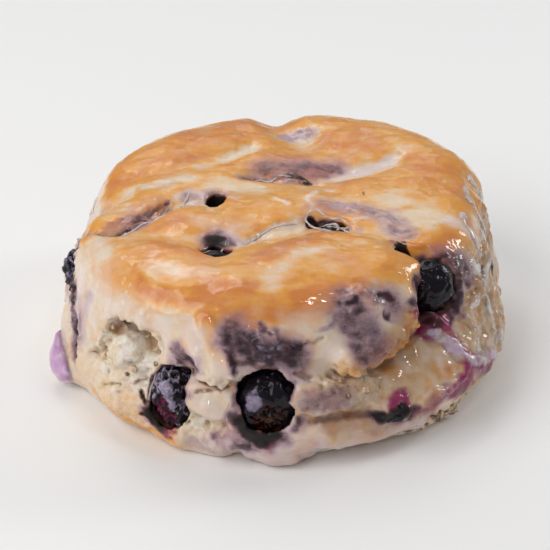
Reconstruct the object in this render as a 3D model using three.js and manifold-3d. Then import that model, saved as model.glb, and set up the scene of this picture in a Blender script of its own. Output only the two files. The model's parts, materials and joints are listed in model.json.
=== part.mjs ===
// A large glazed blueberry biscuit, standing on its flat base.
// Millimetres, +Z up, the shown side towards -Y, the origin in the middle of the base.
import * as THREE from "three";
import { ImprovedNoise } from "three/addons/math/ImprovedNoise.js";
import { mergeVertices } from "three/addons/utils/BufferGeometryUtils.js";
import Module from "manifold-3d";

const wasm = await Module();
wasm.setup();

// ---- Driving dimensions, mm ----
const BISCUIT_RADIUS = 43; // a round cutter's, before the dough spread
const CRUST_HEIGHT = 30.5; // of the plain top, before its folds
const BERRY_RADIUS = 4.4; // of a common small blueberry
const SOCKET_GAP = 0.3; // between a berry and the dough round it

// Radii of the two outlines seen from above, OUTLINE_STEP degrees apart, anticlockwise from +X
const OUTLINE_STEP = 30;
const FOOT_OUTLINE = [42.6, 43, 42.5, 42, 42, 42.5, 43.3, 45.5, 46.5, 46.5, 46, 44.2];
const TOP_OUTLINE = [39.5, 43, 42.5, 40.5, 40.5, 40.3, 41, 43, 43.5, 42, 38.5, 38.5];
const FOOT_TALL = 6; // the foot's outline holds below this height
const FOOT_EASE = 1.2; // height over which the relief starts above the flat base
const SHOULDER = 24; // and the top's above this one

// Half section: share of the outline's radius, and height
const BASE_EDGE = 0.86; // share of the radius that is flat and stands on the table
const HALF_SECTION = [
  [BASE_EDGE, 0], [0.95, 1.2], [0.99, 4.5], [1, 10], [0.99, 17], [0.985, 22],
  [0.965, 25.6], [0.915, 28.4], [0.82, 29.9], [0.6, CRUST_HEIGHT], [0.3, CRUST_HEIGHT], [0, CRUST_HEIGHT],
];

// Mesh fineness
const SEGMENTS = 128;
const RING_STEP = 1.9; // mm along the section
const COARSEST = 16; // segments that one may stand for near the middle
const BALL_SIDES = 12; // of a berry or an opening, round its middle
const BALL_BANDS = 7; // and from pole to pole
const WELD = 1e-3; // points nearer than this are one

const CRUST_COLOUR = 0xd9a062;
const BERRY_COLOUR = 0x1d1730;

// ---- The plain body: a lathe section, stretched to the two outlines ----

const smooth = (from, to, x) => THREE.MathUtils.smoothstep(x, from, to);

// A closed Catmull-Rom run through radii that stand OUTLINE_STEP apart
function outlineAt(radii, degrees) {
  const turn = THREE.MathUtils.euclideanModulo(degrees, 360) / OUTLINE_STEP;
  const i = Math.floor(turn);
  const t = turn - i;
  const [a, b, c, d] = [-1, 0, 1, 2].map((k) => radii[(i + k + radii.length) % radii.length]);
  return b + 0.5 * t * (c - a + t * (2 * a - 5 * b + 4 * c - d + t * (3 * (b - c) + d - a)));
}

function plainPoint(degrees, share, height) {
  const foot = outlineAt(FOOT_OUTLINE, degrees);
  const top = outlineAt(TOP_OUTLINE, degrees);
  const radius = share * THREE.MathUtils.lerp(foot, top, smooth(FOOT_TALL, SHOULDER, height));
  const angle = THREE.MathUtils.degToRad(degrees);
  return new THREE.Vector3(radius * Math.cos(angle), radius * Math.sin(angle), height);
}

// Section in mm, from the middle of the base out, up the side and in to the middle of the top
function plainSection() {
  const point = ([share, height]) => new THREE.Vector2(share * BISCUIT_RADIUS, height);
  const curve = new THREE.SplineCurve(HALF_SECTION.map(point));
  const wall = curve.getSpacedPoints(Math.round(curve.getLength() / RING_STEP));
  wall.at(-1).setX(0);
  return [point([0, 0]), point([BASE_EDGE / 2, 0]), ...wall];
}

const SECTION = plainSection();

// What the wanted axis of the section reads where its known axis passes a value
function alongSection(points, known, value, wanted) {
  const passes = (p, k) => k > 0 && (points[k - 1][known] - value) * (p[known] - value) <= 0;
  const i = points.findIndex(passes);
  const [a, b] = [points[i - 1], points[i]];
  return THREE.MathUtils.lerp(a[wanted], b[wanted], (value - a[known]) / (b[known] - a[known]));
}

// Points on the plain surface: a place on the side, and one on the top
function onSide(degrees, height) {
  const wall = SECTION.filter((p) => p.x > BASE_EDGE * BISCUIT_RADIUS);
  return plainPoint(degrees, alongSection(wall, "y", height, "x") / BISCUIT_RADIUS, height);
}

function onTop(x, y) {
  const degrees = THREE.MathUtils.radToDeg(Math.atan2(y, x));
  const share = Math.hypot(x, y) / outlineAt(TOP_OUTLINE, degrees);
  const crown = SECTION.filter((p) => p.y > SHOULDER);
  return new THREE.Vector3(x, y, alongSection(crown, "x", share * BISCUIT_RADIUS, "y"));
}

// ---- Folds, pillows and cracks: each follows a path, is so wide, and moves the surface out or in ----

const FOLDS = [
  // pillows of the top crust
  { out: 1.6, wide: 9, path: [onTop(-24, 20), onTop(-10, 30)] },
  { out: 2.1, wide: 10, path: [onTop(8, 31), onTop(20, 27), onTop(30, 16)] },
  { out: 0.9, wide: 8, path: [onTop(-24, 3), onTop(-8, 14), onTop(-8, 20)] },
  { out: 0.9, wide: 5, path: [onTop(-20, -12), onTop(-8, -6), onTop(4, -3)] },
  { out: 1.0, wide: 7, path: [onTop(-27, -23), onTop(-12, -32), onTop(3, -25), onTop(17, -26)] },
  { out: 0.6, wide: 7, path: [onTop(18, 2), onTop(30, -5)] },
  // valleys between them
  {
    out: -1.0,
    wide: 3.2,
    path: [onTop(-30, -14), onTop(-12, -19), onTop(-2, -15.5), onTop(9, -12), onTop(22, -17)],
  },
  { out: -1.0, wide: 2.6, path: [onTop(-32, 8), onTop(-22, 9), onTop(-15, 14), onTop(-7, 19)] },
  { out: -1.1, wide: 3.4, path: [onTop(9, 8.5), onTop(15, 9), onTop(22, 13.5)] },
  { out: -2.2, wide: 4, path: [onTop(4, 23), onTop(-1, 30), onTop(-2, 38)] },
  { out: -3.0, wide: 7.5, path: [onTop(-38, 3)] },
  { out: -1.5, wide: 3, path: [onTop(-12.4, -20.5)] },
  // creases
  {
    out: -2.0,
    wide: 1.7,
    path: [onTop(-38, -10), onTop(-32, -12.5), onTop(-27.5, -11), onTop(-20, -3.5), onTop(-17, -2.5)],
  },
  { out: -1.8, wide: 1.7, path: [onTop(-6, 8), onTop(1, 7), onTop(7, 6.5)] },
  { out: -0.8, wide: 1.3, path: [onTop(-7, -18.5), onTop(-1.6, -15), onTop(3.5, -11.5)] },
  { out: -2.6, wide: 1.6, path: [onTop(20, -19.5), onTop(24, -21.2), onTop(27.5, -21)] },
  // front left: the torn crumb, its arched crack and the lump inside it
  { out: -1.5, wide: 7, path: [onSide(230, 16)] },
  { out: -1.8, wide: 1.5, path: [onSide(219, 14), onSide(224, 18), onSide(230, 22), onSide(238, 20.5)] },
  { out: -1.4, wide: 1.4, path: [onSide(238, 17), onSide(236, 13)] },
  { out: 1.7, wide: 3.3, path: [onSide(229.5, 15.5)] },
  { out: 0.8, wide: 4, path: [onSide(228, 7)] },
  // front: the tongue of upper dough over the lower layer
  { out: 1.1, wide: 3.6, path: [onSide(250, 22), onSide(254, 18.5)] },
  { out: -1.7, wide: 1.3, path: [onSide(248, 16.4), onSide(254, 15.6), onSide(261, 15.8)] },
  { out: 0.8, wide: 3, path: [onSide(253, 12)] },
  { out: -0.9, wide: 2.4, path: [onSide(252, 7.5), onSide(256, 7.5)] },
  { out: 0.9, wide: 2.8, path: [onSide(273, 14.5), onSide(281, 14.5), onSide(290, 12.8)] },
  // right front: the upper layer ends in a lip, set back over the broad lower layer
  { out: 1.5, wide: 3, path: [onSide(306, 22.5), onSide(298, 20.5), onSide(288, 19)] },
  {
    out: -2.8,
    wide: 2.2,
    path: [onSide(312, 20), onSide(303, 17.5), onSide(294, 16), onSide(284, 15.3), onSide(277, 17)],
  },
  { out: 1.2, wide: 4.2, path: [onSide(318, 11), onSide(306, 12), onSide(294, 10)] },
  { out: -2.4, wide: 5, path: [onSide(317, 24)] },
  { out: 0.9, wide: 2.4, path: [onSide(327, 24), onSide(324, 14), onSide(318, 8), onSide(304, 7.5)] },
  { out: 1.1, wide: 2.6, path: [onSide(335, 22), onSide(334, 10)] },
  { out: 1.2, wide: 2.6, path: [onSide(347, 22), onSide(346, 12), onSide(344, 6)] },
  { out: 1.6, wide: 3, path: [onSide(6, 25), onSide(4, 13)] },
  // thick glaze: the run down the left edge, and the foot it left in front
  { out: 1.4, wide: 2.4, path: [onSide(203, 12), onSide(204, 7)] },
  { out: 3.2, wide: 3.6, path: [onSide(204, 3.6)] },
  { out: 1.3, wide: 2.6, path: [onSide(268, 1.6), onSide(274, 1.6)] },
  { out: 1.2, wide: 2.4, path: [onSide(246, 2), onSide(256, 1.8)] },
  { out: 1.2, wide: 2.6, path: [onSide(326, 8), onSide(331, 6)] },
  // back: two broad layers with a torn seam between them, and folds in each
  {
    out: -2.0,
    wide: 1.9,
    path: [onSide(20, 15), onSide(45, 17), onSide(70, 14.5), onSide(92, 16), onSide(112, 14)],
  },
  { out: -1.5, wide: 1.6, path: [onSide(125, 20), onSide(140, 17.5), onSide(158, 18.5), onSide(172, 15)] },
  { out: 1.2, wide: 3.4, path: [onSide(30, 21), onSide(50, 22), onSide(78, 20), onSide(100, 21)] },
  { out: 1.0, wide: 3.8, path: [onSide(130, 11), onSide(150, 9), onSide(168, 10)] },
  { out: -1.2, wide: 3, path: [onSide(62, 8), onSide(66, 5)] },
  { out: -1.3, wide: 4, path: [onSide(118, 22)] },
  { out: 1.1, wide: 2.6, path: [onSide(84, 11), onSide(85, 4)] },
  { out: 1.0, wide: 2.4, path: [onSide(137, 24), onSide(138, 14)] },
  { out: 1.0, wide: 3, path: [onSide(19, 24), onSide(25, 9)] },
  { out: -1.2, wide: 2.2, path: [onSide(12, 20), onSide(14, 6)] },
  { out: 0.9, wide: 3, path: [onSide(182, 20), onSide(186, 8)] },
];

// Torn crumb, rough all over within its reach
const CRUMB = [
  { reach: 8, path: [onSide(229, 17)] },
  { reach: 6, path: [onSide(228, 8), onSide(236, 7)] },
  { reach: 3.5, path: [onSide(252, 7), onSide(256, 7)] },
  { reach: 4, path: [onSide(275, 14), onSide(290, 13)] },
  { reach: 5, path: [onSide(30, 14), onSide(70, 14), onSide(100, 13)] },
  { reach: 4.5, path: [onSide(132, 17), onSide(165, 16)] },
];
const CRUMB_FADE = [0.6, 1.2]; // shares of the reach between which the crags die out
const CRAG_DEPTH = 1.3;
const CRAG_SIZE = 2.4;
const WAVE_HEIGHT = 0.45; // of the gentle unevenness all over
const WAVE_SIZE = 6.5;

function distanceToPath(point, path) {
  if (path.length === 1) return point.distanceTo(path[0]);
  const nearest = new THREE.Vector3();
  const spans = path.slice(1).map((end, i) => new THREE.Line3(path[i], end));
  return Math.min(...spans.map((span) => span.closestPointToPoint(point, true, nearest).distanceTo(point)));
}

const noise = new ImprovedNoise();
const noiseAt = (p, size) => noise.noise(p.x / size, p.y / size, p.z / size);

function reliefAt(point) {
  const folds = FOLDS.reduce(
    (sum, { out, wide, path }) => sum + out * Math.exp(-((distanceToPath(point, path) / wide) ** 2)), 0);
  const tornBy = ({ reach, path }) => 1 - smooth(...CRUMB_FADE, distanceToPath(point, path) / reach);
  const torn = Math.max(...CRUMB.map(tornBy));
  const crags = torn * CRAG_DEPTH * noiseAt(point, CRAG_SIZE);
  return folds + crags + WAVE_HEIGHT * noiseAt(point, WAVE_SIZE);
}

// Where the section looks at one of its points
function sectionNormal(j) {
  const before = SECTION[Math.max(0, j - 1)];
  const after = SECTION[Math.min(SECTION.length - 1, j + 1)];
  return new THREE.Vector2(after.y - before.y, before.x - after.x).normalize();
}

// How many segments one stands for on a ring of this radius, so that triangles stay alike in size
function segmentsJoined(radius) {
  const wanted = (RING_STEP * SEGMENTS) / (2 * Math.PI * Math.max(radius, WELD));
  return Math.min(COARSEST, 2 ** Math.max(0, Math.round(Math.log2(wanted))));
}

function doughGeometry() {
  const lathe = new THREE.LatheGeometry(SECTION, SEGMENTS);
  const at = lathe.getAttribute("position");
  const rings = SECTION.length;
  for (let i = 0; i <= SEGMENTS; i += 1) {
    for (let j = 0; j < rings; j += 1) {
      const { x: radius, y: height } = SECTION[j];
      const joined = segmentsJoined(radius);
      const degrees = (360 * Math.floor(i / joined) * joined) / SEGMENTS - 90;
      const point = plainPoint(degrees, radius / BISCUIT_RADIUS, height);
      const normal = sectionNormal(j);
      const angle = THREE.MathUtils.degToRad(degrees);
      const outward = new THREE.Vector3(normal.x * Math.cos(angle), normal.x * Math.sin(angle), normal.y);
      const offBase = smooth(0, FOOT_EASE, height); // the base itself stays flat
      point.addScaledVector(outward, reliefAt(point) * offBase);
      at.setXYZ(i * rings + j, point.x, point.y, Math.max(0, point.z));
    }
  }
  return lathe;
}

// ---- Solids ----

function solidOf(geometry) {
  const bare = geometry.clone();
  bare.deleteAttribute("normal");
  bare.deleteAttribute("uv");
  const merged = mergeVertices(bare, WELD);
  const triVerts = [];
  const index = merged.index.array;
  for (let i = 0; i < index.length; i += 3) {
    const [a, b, c] = index.slice(i, i + 3);
    if (a !== b && b !== c && c !== a) triVerts.push(a, b, c);
  }
  return new wasm.Manifold(
    new wasm.Mesh({
      numProp: 3,
      vertProperties: merged.getAttribute("position").array,
      triVerts: new Uint32Array(triVerts),
    }),
  );
}

function geometryOf(solid) {
  const { vertProperties, triVerts } = solid.getMesh();
  const geometry = new THREE.BufferGeometry();
  geometry.setAttribute("position", new THREE.BufferAttribute(vertProperties, 3));
  geometry.setIndex(new THREE.BufferAttribute(triVerts, 1));
  return geometry;
}

// ---- Berries: where each shows, how far its middle lies under the plain surface there, and its
// stretch outwards, across and up against a round one of BERRY_RADIUS ----

const berry = (name, place, sunk, scale = [1, 1, 1]) => ({ name, place, sunk, scale });
const BERRIES = [
  berry("berry_right", onSide(319.5, 23), 3.2, [1.1, 1.1, 1.12]),
  berry("berry_front", onSide(266, 11), 4.2, [1.15, 1.3, 1.6]),
  berry("berry_front_upper", onSide(265, 22), 3.6, [1.15, 1, 0.9]),
  berry("berry_split", onSide(243.5, 10), 3.2, [1, 1.05, 1.4]),
  berry("berry_left_edge", onSide(196, 19), 3, [1, 1.1, 1.3]),
  berry("berry_ledge", onSide(291, 25), 3.4, [1.1, 1, 1]),
  berry("berry_low_right", onSide(295, 9), 2.6, [1, 1.1, 0.75]),
  berry("berry_right_edge", onSide(351, 16), 3, [0.9, 1, 1.2]),
  berry("berry_top_pit", onTop(-12.4, -22), 5),
  berry("berry_top_slot", onTop(9, -11.4), 5.6),
  berry("berry_top_back", onTop(1.5, 8.6), 5.2),
  berry("berry_crease", onTop(-27, -9.6), 5.2),
  berry("berry_back_left", onSide(148, 17), 3.2, [1, 1, 0.9]),
  berry("berry_back", onSide(84, 16.5), 3.4, [1.1, 1, 0.9]),
  berry("berry_back_right", onSide(38, 10), 3.2),
];

// Which way the plain surface looks, near enough: up on the top, out on the side
function outwardAt(place) {
  const out = new THREE.Vector3(place.x, place.y, 0).normalize();
  const up = smooth(SHOULDER, CRUST_HEIGHT, place.z);
  return out.multiplyScalar(1 - up).add(new THREE.Vector3(0, 0, up)).normalize();
}

// Axes of a berry: x outwards, y across, z up
function berryGeometry(radius, scale) {
  const geometry = new THREE.SphereGeometry(radius, BALL_SIDES, BALL_BANDS);
  geometry.rotateX(Math.PI / 2);
  geometry.scale(...scale);
  return geometry;
}

function berryMatrix({ place, sunk }) {
  const middle = place.clone().addScaledVector(outwardAt(place), -sunk);
  const facing = new THREE.Euler(0, 0, Math.atan2(place.y, place.x));
  return new THREE.Matrix4().makeRotationFromEuler(facing).setPosition(middle);
}

// ---- Openings in the crust, as stretched balls: place, half axes, turn in degrees ----

const OPENINGS = [
  { place: onTop(-12.8, -2.2), size: [2, 2.3, 5], turn: 0 }, // round hole
  { place: onTop(-12.4, -21.4), size: [2.6, 2.8, 4], turn: 0 }, // pit over a berry
  { place: onTop(8.6, -11.2), size: [4.4, 1.8, 2.6], turn: -32 }, // slot
  { place: onTop(23.5, -21), size: [3.8, 1.3, 3], turn: -14 }, // crack above the right berry
];

function openingSolid({ place, size, turn }) {
  const ball = new THREE.SphereGeometry(1, BALL_SIDES, BALL_BANDS);
  ball.scale(...size);
  ball.rotateZ(THREE.MathUtils.degToRad(turn));
  ball.translate(place.x, place.y, place.z);
  return solidOf(ball);
}

// ---- The assembly ----

const biscuit = new THREE.Group();
let dough = solidOf(doughGeometry());
OPENINGS.forEach((opening) => {
  dough = dough.subtract(openingSolid(opening));
});

BERRIES.forEach((fruit) => {
  const matrix = berryMatrix(fruit);
  const socket = solidOf(berryGeometry(BERRY_RADIUS + SOCKET_GAP, fruit.scale).applyMatrix4(matrix));
  dough = dough.subtract(socket);
  const skin = new THREE.MeshStandardMaterial({ color: BERRY_COLOUR, roughness: 0.3, metalness: 0 });
  const mesh = new THREE.Mesh(berryGeometry(BERRY_RADIUS, fruit.scale), skin);
  mesh.name = fruit.name;
  mesh.applyMatrix4(matrix);
  biscuit.add(mesh);
});

const crust = new THREE.MeshStandardMaterial({ color: CRUST_COLOUR, roughness: 0.45, metalness: 0 });
const doughMesh = new THREE.Mesh(geometryOf(dough), crust);
doughMesh.name = "biscuit";
biscuit.add(doughMesh);

export default biscuit;
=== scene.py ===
"""Looks of a large glazed blueberry biscuit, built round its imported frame.

Laid out as an add-on: sizes and colours are properties, each group of pieces is an operator.
Places on the biscuit are named as on a map. On its side a place is (degrees, height): degrees
anticlockwise from +X seen from above, so the front is 270, and millimetres up. On its top a
place is (x, y) in millimetres.
"""

import json
import math
import random

import bpy
import numpy as np
from mathutils import Matrix, Vector, noise
from mathutils.bvhtree import BVHTree

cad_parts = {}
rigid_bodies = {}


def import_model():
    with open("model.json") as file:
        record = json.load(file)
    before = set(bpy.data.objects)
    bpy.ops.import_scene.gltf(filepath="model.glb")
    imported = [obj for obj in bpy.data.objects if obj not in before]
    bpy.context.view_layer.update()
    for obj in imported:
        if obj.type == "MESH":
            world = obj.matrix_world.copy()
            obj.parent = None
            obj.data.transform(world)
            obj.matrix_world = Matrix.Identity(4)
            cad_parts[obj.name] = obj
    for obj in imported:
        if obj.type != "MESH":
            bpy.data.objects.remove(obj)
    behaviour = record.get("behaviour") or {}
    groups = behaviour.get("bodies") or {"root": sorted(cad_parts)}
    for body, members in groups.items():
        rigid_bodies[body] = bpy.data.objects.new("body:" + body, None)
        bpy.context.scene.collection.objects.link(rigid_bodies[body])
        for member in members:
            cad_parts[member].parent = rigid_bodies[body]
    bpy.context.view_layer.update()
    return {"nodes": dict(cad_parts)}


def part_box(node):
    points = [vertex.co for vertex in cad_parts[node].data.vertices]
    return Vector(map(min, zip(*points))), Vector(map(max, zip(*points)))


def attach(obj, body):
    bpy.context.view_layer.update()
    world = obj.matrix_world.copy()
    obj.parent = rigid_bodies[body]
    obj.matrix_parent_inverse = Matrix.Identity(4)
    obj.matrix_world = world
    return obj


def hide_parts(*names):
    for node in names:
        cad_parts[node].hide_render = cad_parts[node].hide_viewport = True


bl_info = {
    "name": "Glazed Blueberry Biscuit",
    "version": (1, 0, 0),
    "blender": (4, 5, 0),
    "location": "3D View > Sidebar > Biscuit",
    "description": "Builds a glazed blueberry biscuit: dough, berries, glaze, juice and crumbs",
    "category": "Object",
}

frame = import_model()

MM = 0.001
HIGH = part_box("biscuit")[1]
SIDE, TOP = "side", "top"
# Height in mm above which a point belongs to the top.
UPPER = 22

# Lines of places on the top that strokes and strands follow.
LEFT_CREASE = ((-34.3, -13.1), (-31.7, -12.3), (-28.5, -11.2), (-26.8, -9.2))
CREASE_FORK = ((-25.4, -7), (-23.2, -4.6), (-22, -3.4))
CREASE_TIP = ((-22.4, -6.6), (-21.2, -5.2))
FRONT_SEAM = ((-6.5, -16.8), (-4, -13.8), (-0.7, -11.8), (2.1, -10.4))
SLOT_FRONT = ((5.6, -6.6), (4.4, -8.4), (4.0, -9.8), (5.0, -11.8), (6.6, -12.6), (9.6, -13.4), (12.4, -13.2))
RIGHT_SMEAR = ((12.9, -6), (18.4, -9), (22.1, -14))
BACK_RIGHT_GROOVE = ((11.2, 9.5), (17.8, 12.2), (21.4, 13.5))

# ---------------------------------------------------------------- settings


def length_property(name, description, millimetres):
    return bpy.props.FloatProperty(
        name=name,
        description=description,
        default=millimetres * MM,
        min=0,
        max=3 * MM,
        subtype="DISTANCE",
        unit="LENGTH",
        precision=5,
    )


def colour_property(name, description, default):
    return bpy.props.FloatVectorProperty(
        name=name,
        description=description,
        default=default,
        size=3,
        min=0,
        max=1,
        subtype="COLOR",
    )


class BiscuitSizes(bpy.types.PropertyGroup):
    """Sizes that a user would change"""

    grain: length_property("Dough grain", "Edge length of the dough's fine surface", 0.41)
    pore_depth: length_property("Pore depth", "Depth of the holes in torn crumb", 0.7)
    crack_depth: length_property("Crack depth", "Depth of the cracks between flaky layers", 1.1)
    drip_depth: length_property("Drip depth", "How far the juicy drip stands out", 1.3)
    strand: length_property("Strand thickness", "Thickness of a thin strand of glaze", 0.5)
    wrinkle: length_property("Berry wrinkles", "Depth of the folds in a baked berry's skin", 0.3)


class BiscuitColours(bpy.types.PropertyGroup):
    """Colours that a user would change"""

    dough: colour_property("Dough", "Pale baked dough", (0.78, 0.61, 0.42))
    golden: colour_property("Golden", "Golden crust", (0.79, 0.365, 0.06))
    browned: colour_property("Browned", "Orange brown of the crust's ridges", (0.66, 0.225, 0.045))
    crumb: colour_property("Crumb", "Torn inside of the dough", (0.90, 0.84, 0.77))
    glaze: colour_property("Glaze", "Dried sugar glaze", (0.80, 0.70, 0.67))
    skin: colour_property("Berry skin", "Blue black skin of a baked berry", (0.006, 0.004, 0.008))
    bloom: colour_property("Berry bloom", "Pale violet film on the skin", (0.30, 0.25, 0.36))
    stain: colour_property("Violet stain", "Dough stained by a berry under it", (0.038, 0.013, 0.023))
    runny: colour_property("Juicy glaze", "Glaze that juice has run into", (0.62, 0.36, 0.62))
    juice: colour_property("Berry juice", "Magenta juice in the glaze", (0.27, 0.014, 0.085))


# ---------------------------------------------------------------- small tools


def settings():
    return bpy.context.scene.biscuit_sizes


def colours():
    return bpy.context.scene.biscuit_colours


def select_only(piece):
    bpy.ops.object.select_all(action="DESELECT")
    piece.select_set(True)
    bpy.context.view_layer.objects.active = piece


def join_all(pieces):
    """Joins the pieces into the first one."""
    select_only(pieces[0])
    for piece in pieces:
        piece.select_set(True)
    bpy.ops.object.join()
    return pieces[0]


def new_piece(name, mesh):
    """A new object on its own copy of a mesh."""
    piece = bpy.data.objects.new(name, mesh.copy())
    bpy.context.scene.collection.objects.link(piece)
    return piece


def edit_chosen(piece, mode, chosen):
    """Enters edit mode with only the chosen vertices or faces selected."""
    select_only(piece)
    bpy.ops.object.mode_set(mode="EDIT")
    bpy.ops.mesh.select_mode(type=mode)
    bpy.ops.mesh.select_all(action="DESELECT")
    bpy.ops.object.mode_set(mode="OBJECT")
    parts = piece.data.vertices if mode == "VERT" else piece.data.polygons
    parts.foreach_set("select", chosen)
    bpy.ops.object.mode_set(mode="EDIT")


def finish_modifier(piece, kind, **values):
    """Adds a modifier with these values and applies it."""
    select_only(piece)
    modifier = piece.modifiers.new(kind.title(), kind)
    for key, value in values.items():
        setattr(modifier, key, value)
    bpy.ops.object.modifier_apply(modifier=modifier.name)


def read_points(mesh, field="co"):
    flat = np.empty(len(mesh.vertices) * 3, dtype=np.float32)
    mesh.vertices.foreach_get(field, flat)
    return flat.reshape(-1, 3).astype(float)


def write_points(mesh, points):
    mesh.vertices.foreach_set("co", points.astype(np.float32).ravel())
    mesh.update()


def smoothstep(low, high, value):
    t = np.clip((value - low) / (high - low), 0, 1)
    return t * t * (3 - 2 * t)


def noise_field(points, size, seed, octaves, stretch=(1, 1, 1)):
    """Fractal noise from about -1 to 1, with lumps of this size in mm, longer along a stretched axis."""
    shift = np.array((7.31, 3.17, 5.73)) * (seed + 1)
    scaled = points / (np.array(stretch) * size * MM) + shift
    return np.array([noise.fractal(p, 1.0, 2.0, octaves) for p in scaled.tolist()])


def warped(points, size, reach, seed):
    """The points, each moved by noise of this size up to this reach, both in mm."""
    moves = [noise_field(points, size, seed + k, 2) for k in range(3)]
    return points + reach * MM * np.stack(moves, axis=1)


def cell_field(points, size, seed):
    """Distance to the nearest point of a random lattice, in cells, and a random number for that cell."""
    shift = Vector((3.7, 9.2, 1.3)) * (seed + 1)
    near, pick = [], []
    for p in (points / (size * MM)).tolist():
        distances, places = noise.voronoi(Vector(p) + shift)
        near.append(distances[0])
        pick.append(noise.cell(places[0] * 17.3))
    return np.array(near), np.array(pick) % 1


def edge_ends(mesh):
    flat = np.empty(len(mesh.edges) * 2, dtype=np.int32)
    mesh.edges.foreach_get("vertices", flat)
    return flat.reshape(-1, 2)


def spread_values(values, ends, rounds):
    """Averages each vertex's value with its neighbours', this many times."""
    count = len(values)
    share = 0.5 / np.maximum(np.bincount(ends.ravel(), minlength=count), 1)
    columns = values.reshape(count, -1).copy()
    for _ in range(rounds):
        for k in range(columns.shape[1]):
            column = columns[:, k]
            total = np.bincount(ends[:, 0], column[ends[:, 1]], count)
            total += np.bincount(ends[:, 1], column[ends[:, 0]], count)
            columns[:, k] = 0.5 * column + share * total
    return columns.reshape(values.shape)


def set_mask(mesh, name, values):
    attribute = mesh.attributes.get(name) or mesh.attributes.new(name, "FLOAT", "POINT")
    attribute.data.foreach_set("value", np.clip(values, 0, 1).astype(np.float32))


def get_mask(mesh, name):
    values = np.empty(len(mesh.vertices), dtype=np.float32)
    mesh.attributes[name].data.foreach_get("value", values)
    return values.astype(float)


class Surface:
    """A mesh's outside, for finding a named place on it."""

    # How far apart in mm the hits of a trail lie.
    STEP = 0.6

    def __init__(self, mesh):
        polygons = [tuple(p.vertices) for p in mesh.polygons]
        self.tree = BVHTree.FromPolygons([v.co for v in mesh.vertices], polygons)

    def place(self, face, where):
        """Where (degrees, height) on the side or (x, y) on the top is, in metres."""
        if face == SIDE:
            angle = math.radians(where[0])
            outward = Vector((math.cos(angle), math.sin(angle), 0))
            start = outward * 2 * HIGH.x + Vector((0, 0, where[1] * MM))
            return self.tree.ray_cast(start, -outward)[0]
        start = Vector((where[0] * MM, where[1] * MM, 2 * HIGH.z))
        return self.tree.ray_cast(start, Vector((0, 0, -1)))[0]

    def path(self, face, places):
        return np.array([tuple(self.place(face, where)) for where in places])

    def trail(self, face, places):
        """Hits close together along a line of places."""
        scale = (math.radians(HIGH.x / MM), 1) if face == SIDE else (1, 1)
        close = []
        for start, end in zip(places[:-1], places[1:]):
            span = math.hypot((end[0] - start[0]) * scale[0], (end[1] - start[1]) * scale[1])
            count = max(1, round(span / self.STEP))
            for k in range(count):
                t = k / count
                close.append((start[0] + t * (end[0] - start[0]), start[1] + t * (end[1] - start[1])))
        return self.path(face, (*close, places[-1]))


def distance_to_path(points, path):
    """Distance of every point to a path of places, or to a single one."""
    best = np.linalg.norm(points - path[0], axis=1)
    for start, end in zip(path[:-1], path[1:]):
        span = end - start
        t = np.clip((points - start) @ span / (span @ span), 0, 1)
        best = np.minimum(best, np.linalg.norm(points - start - t[:, None] * span, axis=1))
    return best


def from_above(points, places):
    """Distance of every point, seen from above, to a path of (x, y) places in mm."""
    path = np.array([(x * MM, y * MM, 0) for x, y in places])
    return distance_to_path(points * (1, 1, 0), path)


def below_rim(points, surface, places, radius):
    """How far each point in a hole of the top lies below the plane through its rim, in mm."""
    ring = []
    for x, y in places:
        for k in range(12):
            angle = k * math.tau / 12
            ring.append((x + 2 * radius * math.cos(angle), y + 2 * radius * math.sin(angle)))
    rim = surface.path(TOP, ring)
    rim = rim[from_above(rim, places) > 1.7 * radius * MM]
    sides = np.column_stack((rim[:, :2], np.ones(len(rim))))
    slope = np.linalg.lstsq(sides, rim[:, 2], rcond=None)[0]
    plane = points[:, :2] @ slope[:2] + slope[2]
    inside = 1 - smoothstep(1.1, 1.7, from_above(points, places) / (radius * MM))
    return inside * (plane - points[:, 2]) / MM


def painted(points, surface, strokes, soft):
    """The strongest stroke at every point. A stroke is (face, places, half width in mm, strength)."""
    result = np.zeros(len(points))
    for face, places, wide, strength in strokes:
        distance = distance_to_path(points, surface.path(face, places)) / (wide * MM)
        result = np.maximum(result, strength * (1 - smoothstep(1 - soft, 1 + soft, distance)))
    return result


def compass(points):
    """Degrees anticlockwise from +X, from 0 to 360."""
    return np.degrees(np.arctan2(points[:, 1], points[:, 0])) % 360


# ---------------------------------------------------------------- shader tools


# Nodes stand in rows of this many, this far apart across and down.
NODES_IN_ROW = 9
NODE_GAP = (200, -220)


def put(tree, kind, inputs=None, **values):
    """Adds a node. An input takes a number, a colour or another node's output."""
    node = tree.nodes.new(kind)
    row, column = divmod(len(tree.nodes), NODES_IN_ROW)
    node.location = (NODE_GAP[0] * column, NODE_GAP[1] * row)
    for key, value in values.items():
        setattr(node, key, value)
    for key, value in (inputs or {}).items():
        socket = node.inputs[key]
        if isinstance(value, bpy.types.NodeSocket):
            tree.links.new(value, socket)
        else:
            socket.default_value = value
    return node


def opaque(colour):
    return (*colour, 1)


def mix(tree, factor, low, high, blend="MIX"):
    """Colour output of a mix of two colours."""
    inputs = {0: factor, 6: low, 7: high}
    kind = {"data_type": "RGBA", "blend_type": blend, "clamp_factor": True}
    return put(tree, "ShaderNodeMix", inputs, **kind).outputs[2]


def calculate(tree, operation, *values):
    return put(tree, "ShaderNodeMath", dict(enumerate(values)), operation=operation).outputs[0]


def ramped(tree, value, low, high, to_low=0.0, to_high=1.0):
    """The value, moved smoothly from one range to another."""
    inputs = {"Value": value, 1: low, 2: high, 3: to_low, 4: to_high}
    return put(tree, "ShaderNodeMapRange", inputs, interpolation_type="SMOOTHSTEP").outputs[0]


def read_mask(tree, name):
    return put(tree, "ShaderNodeAttribute", attribute_name=name).outputs["Fac"]


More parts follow.
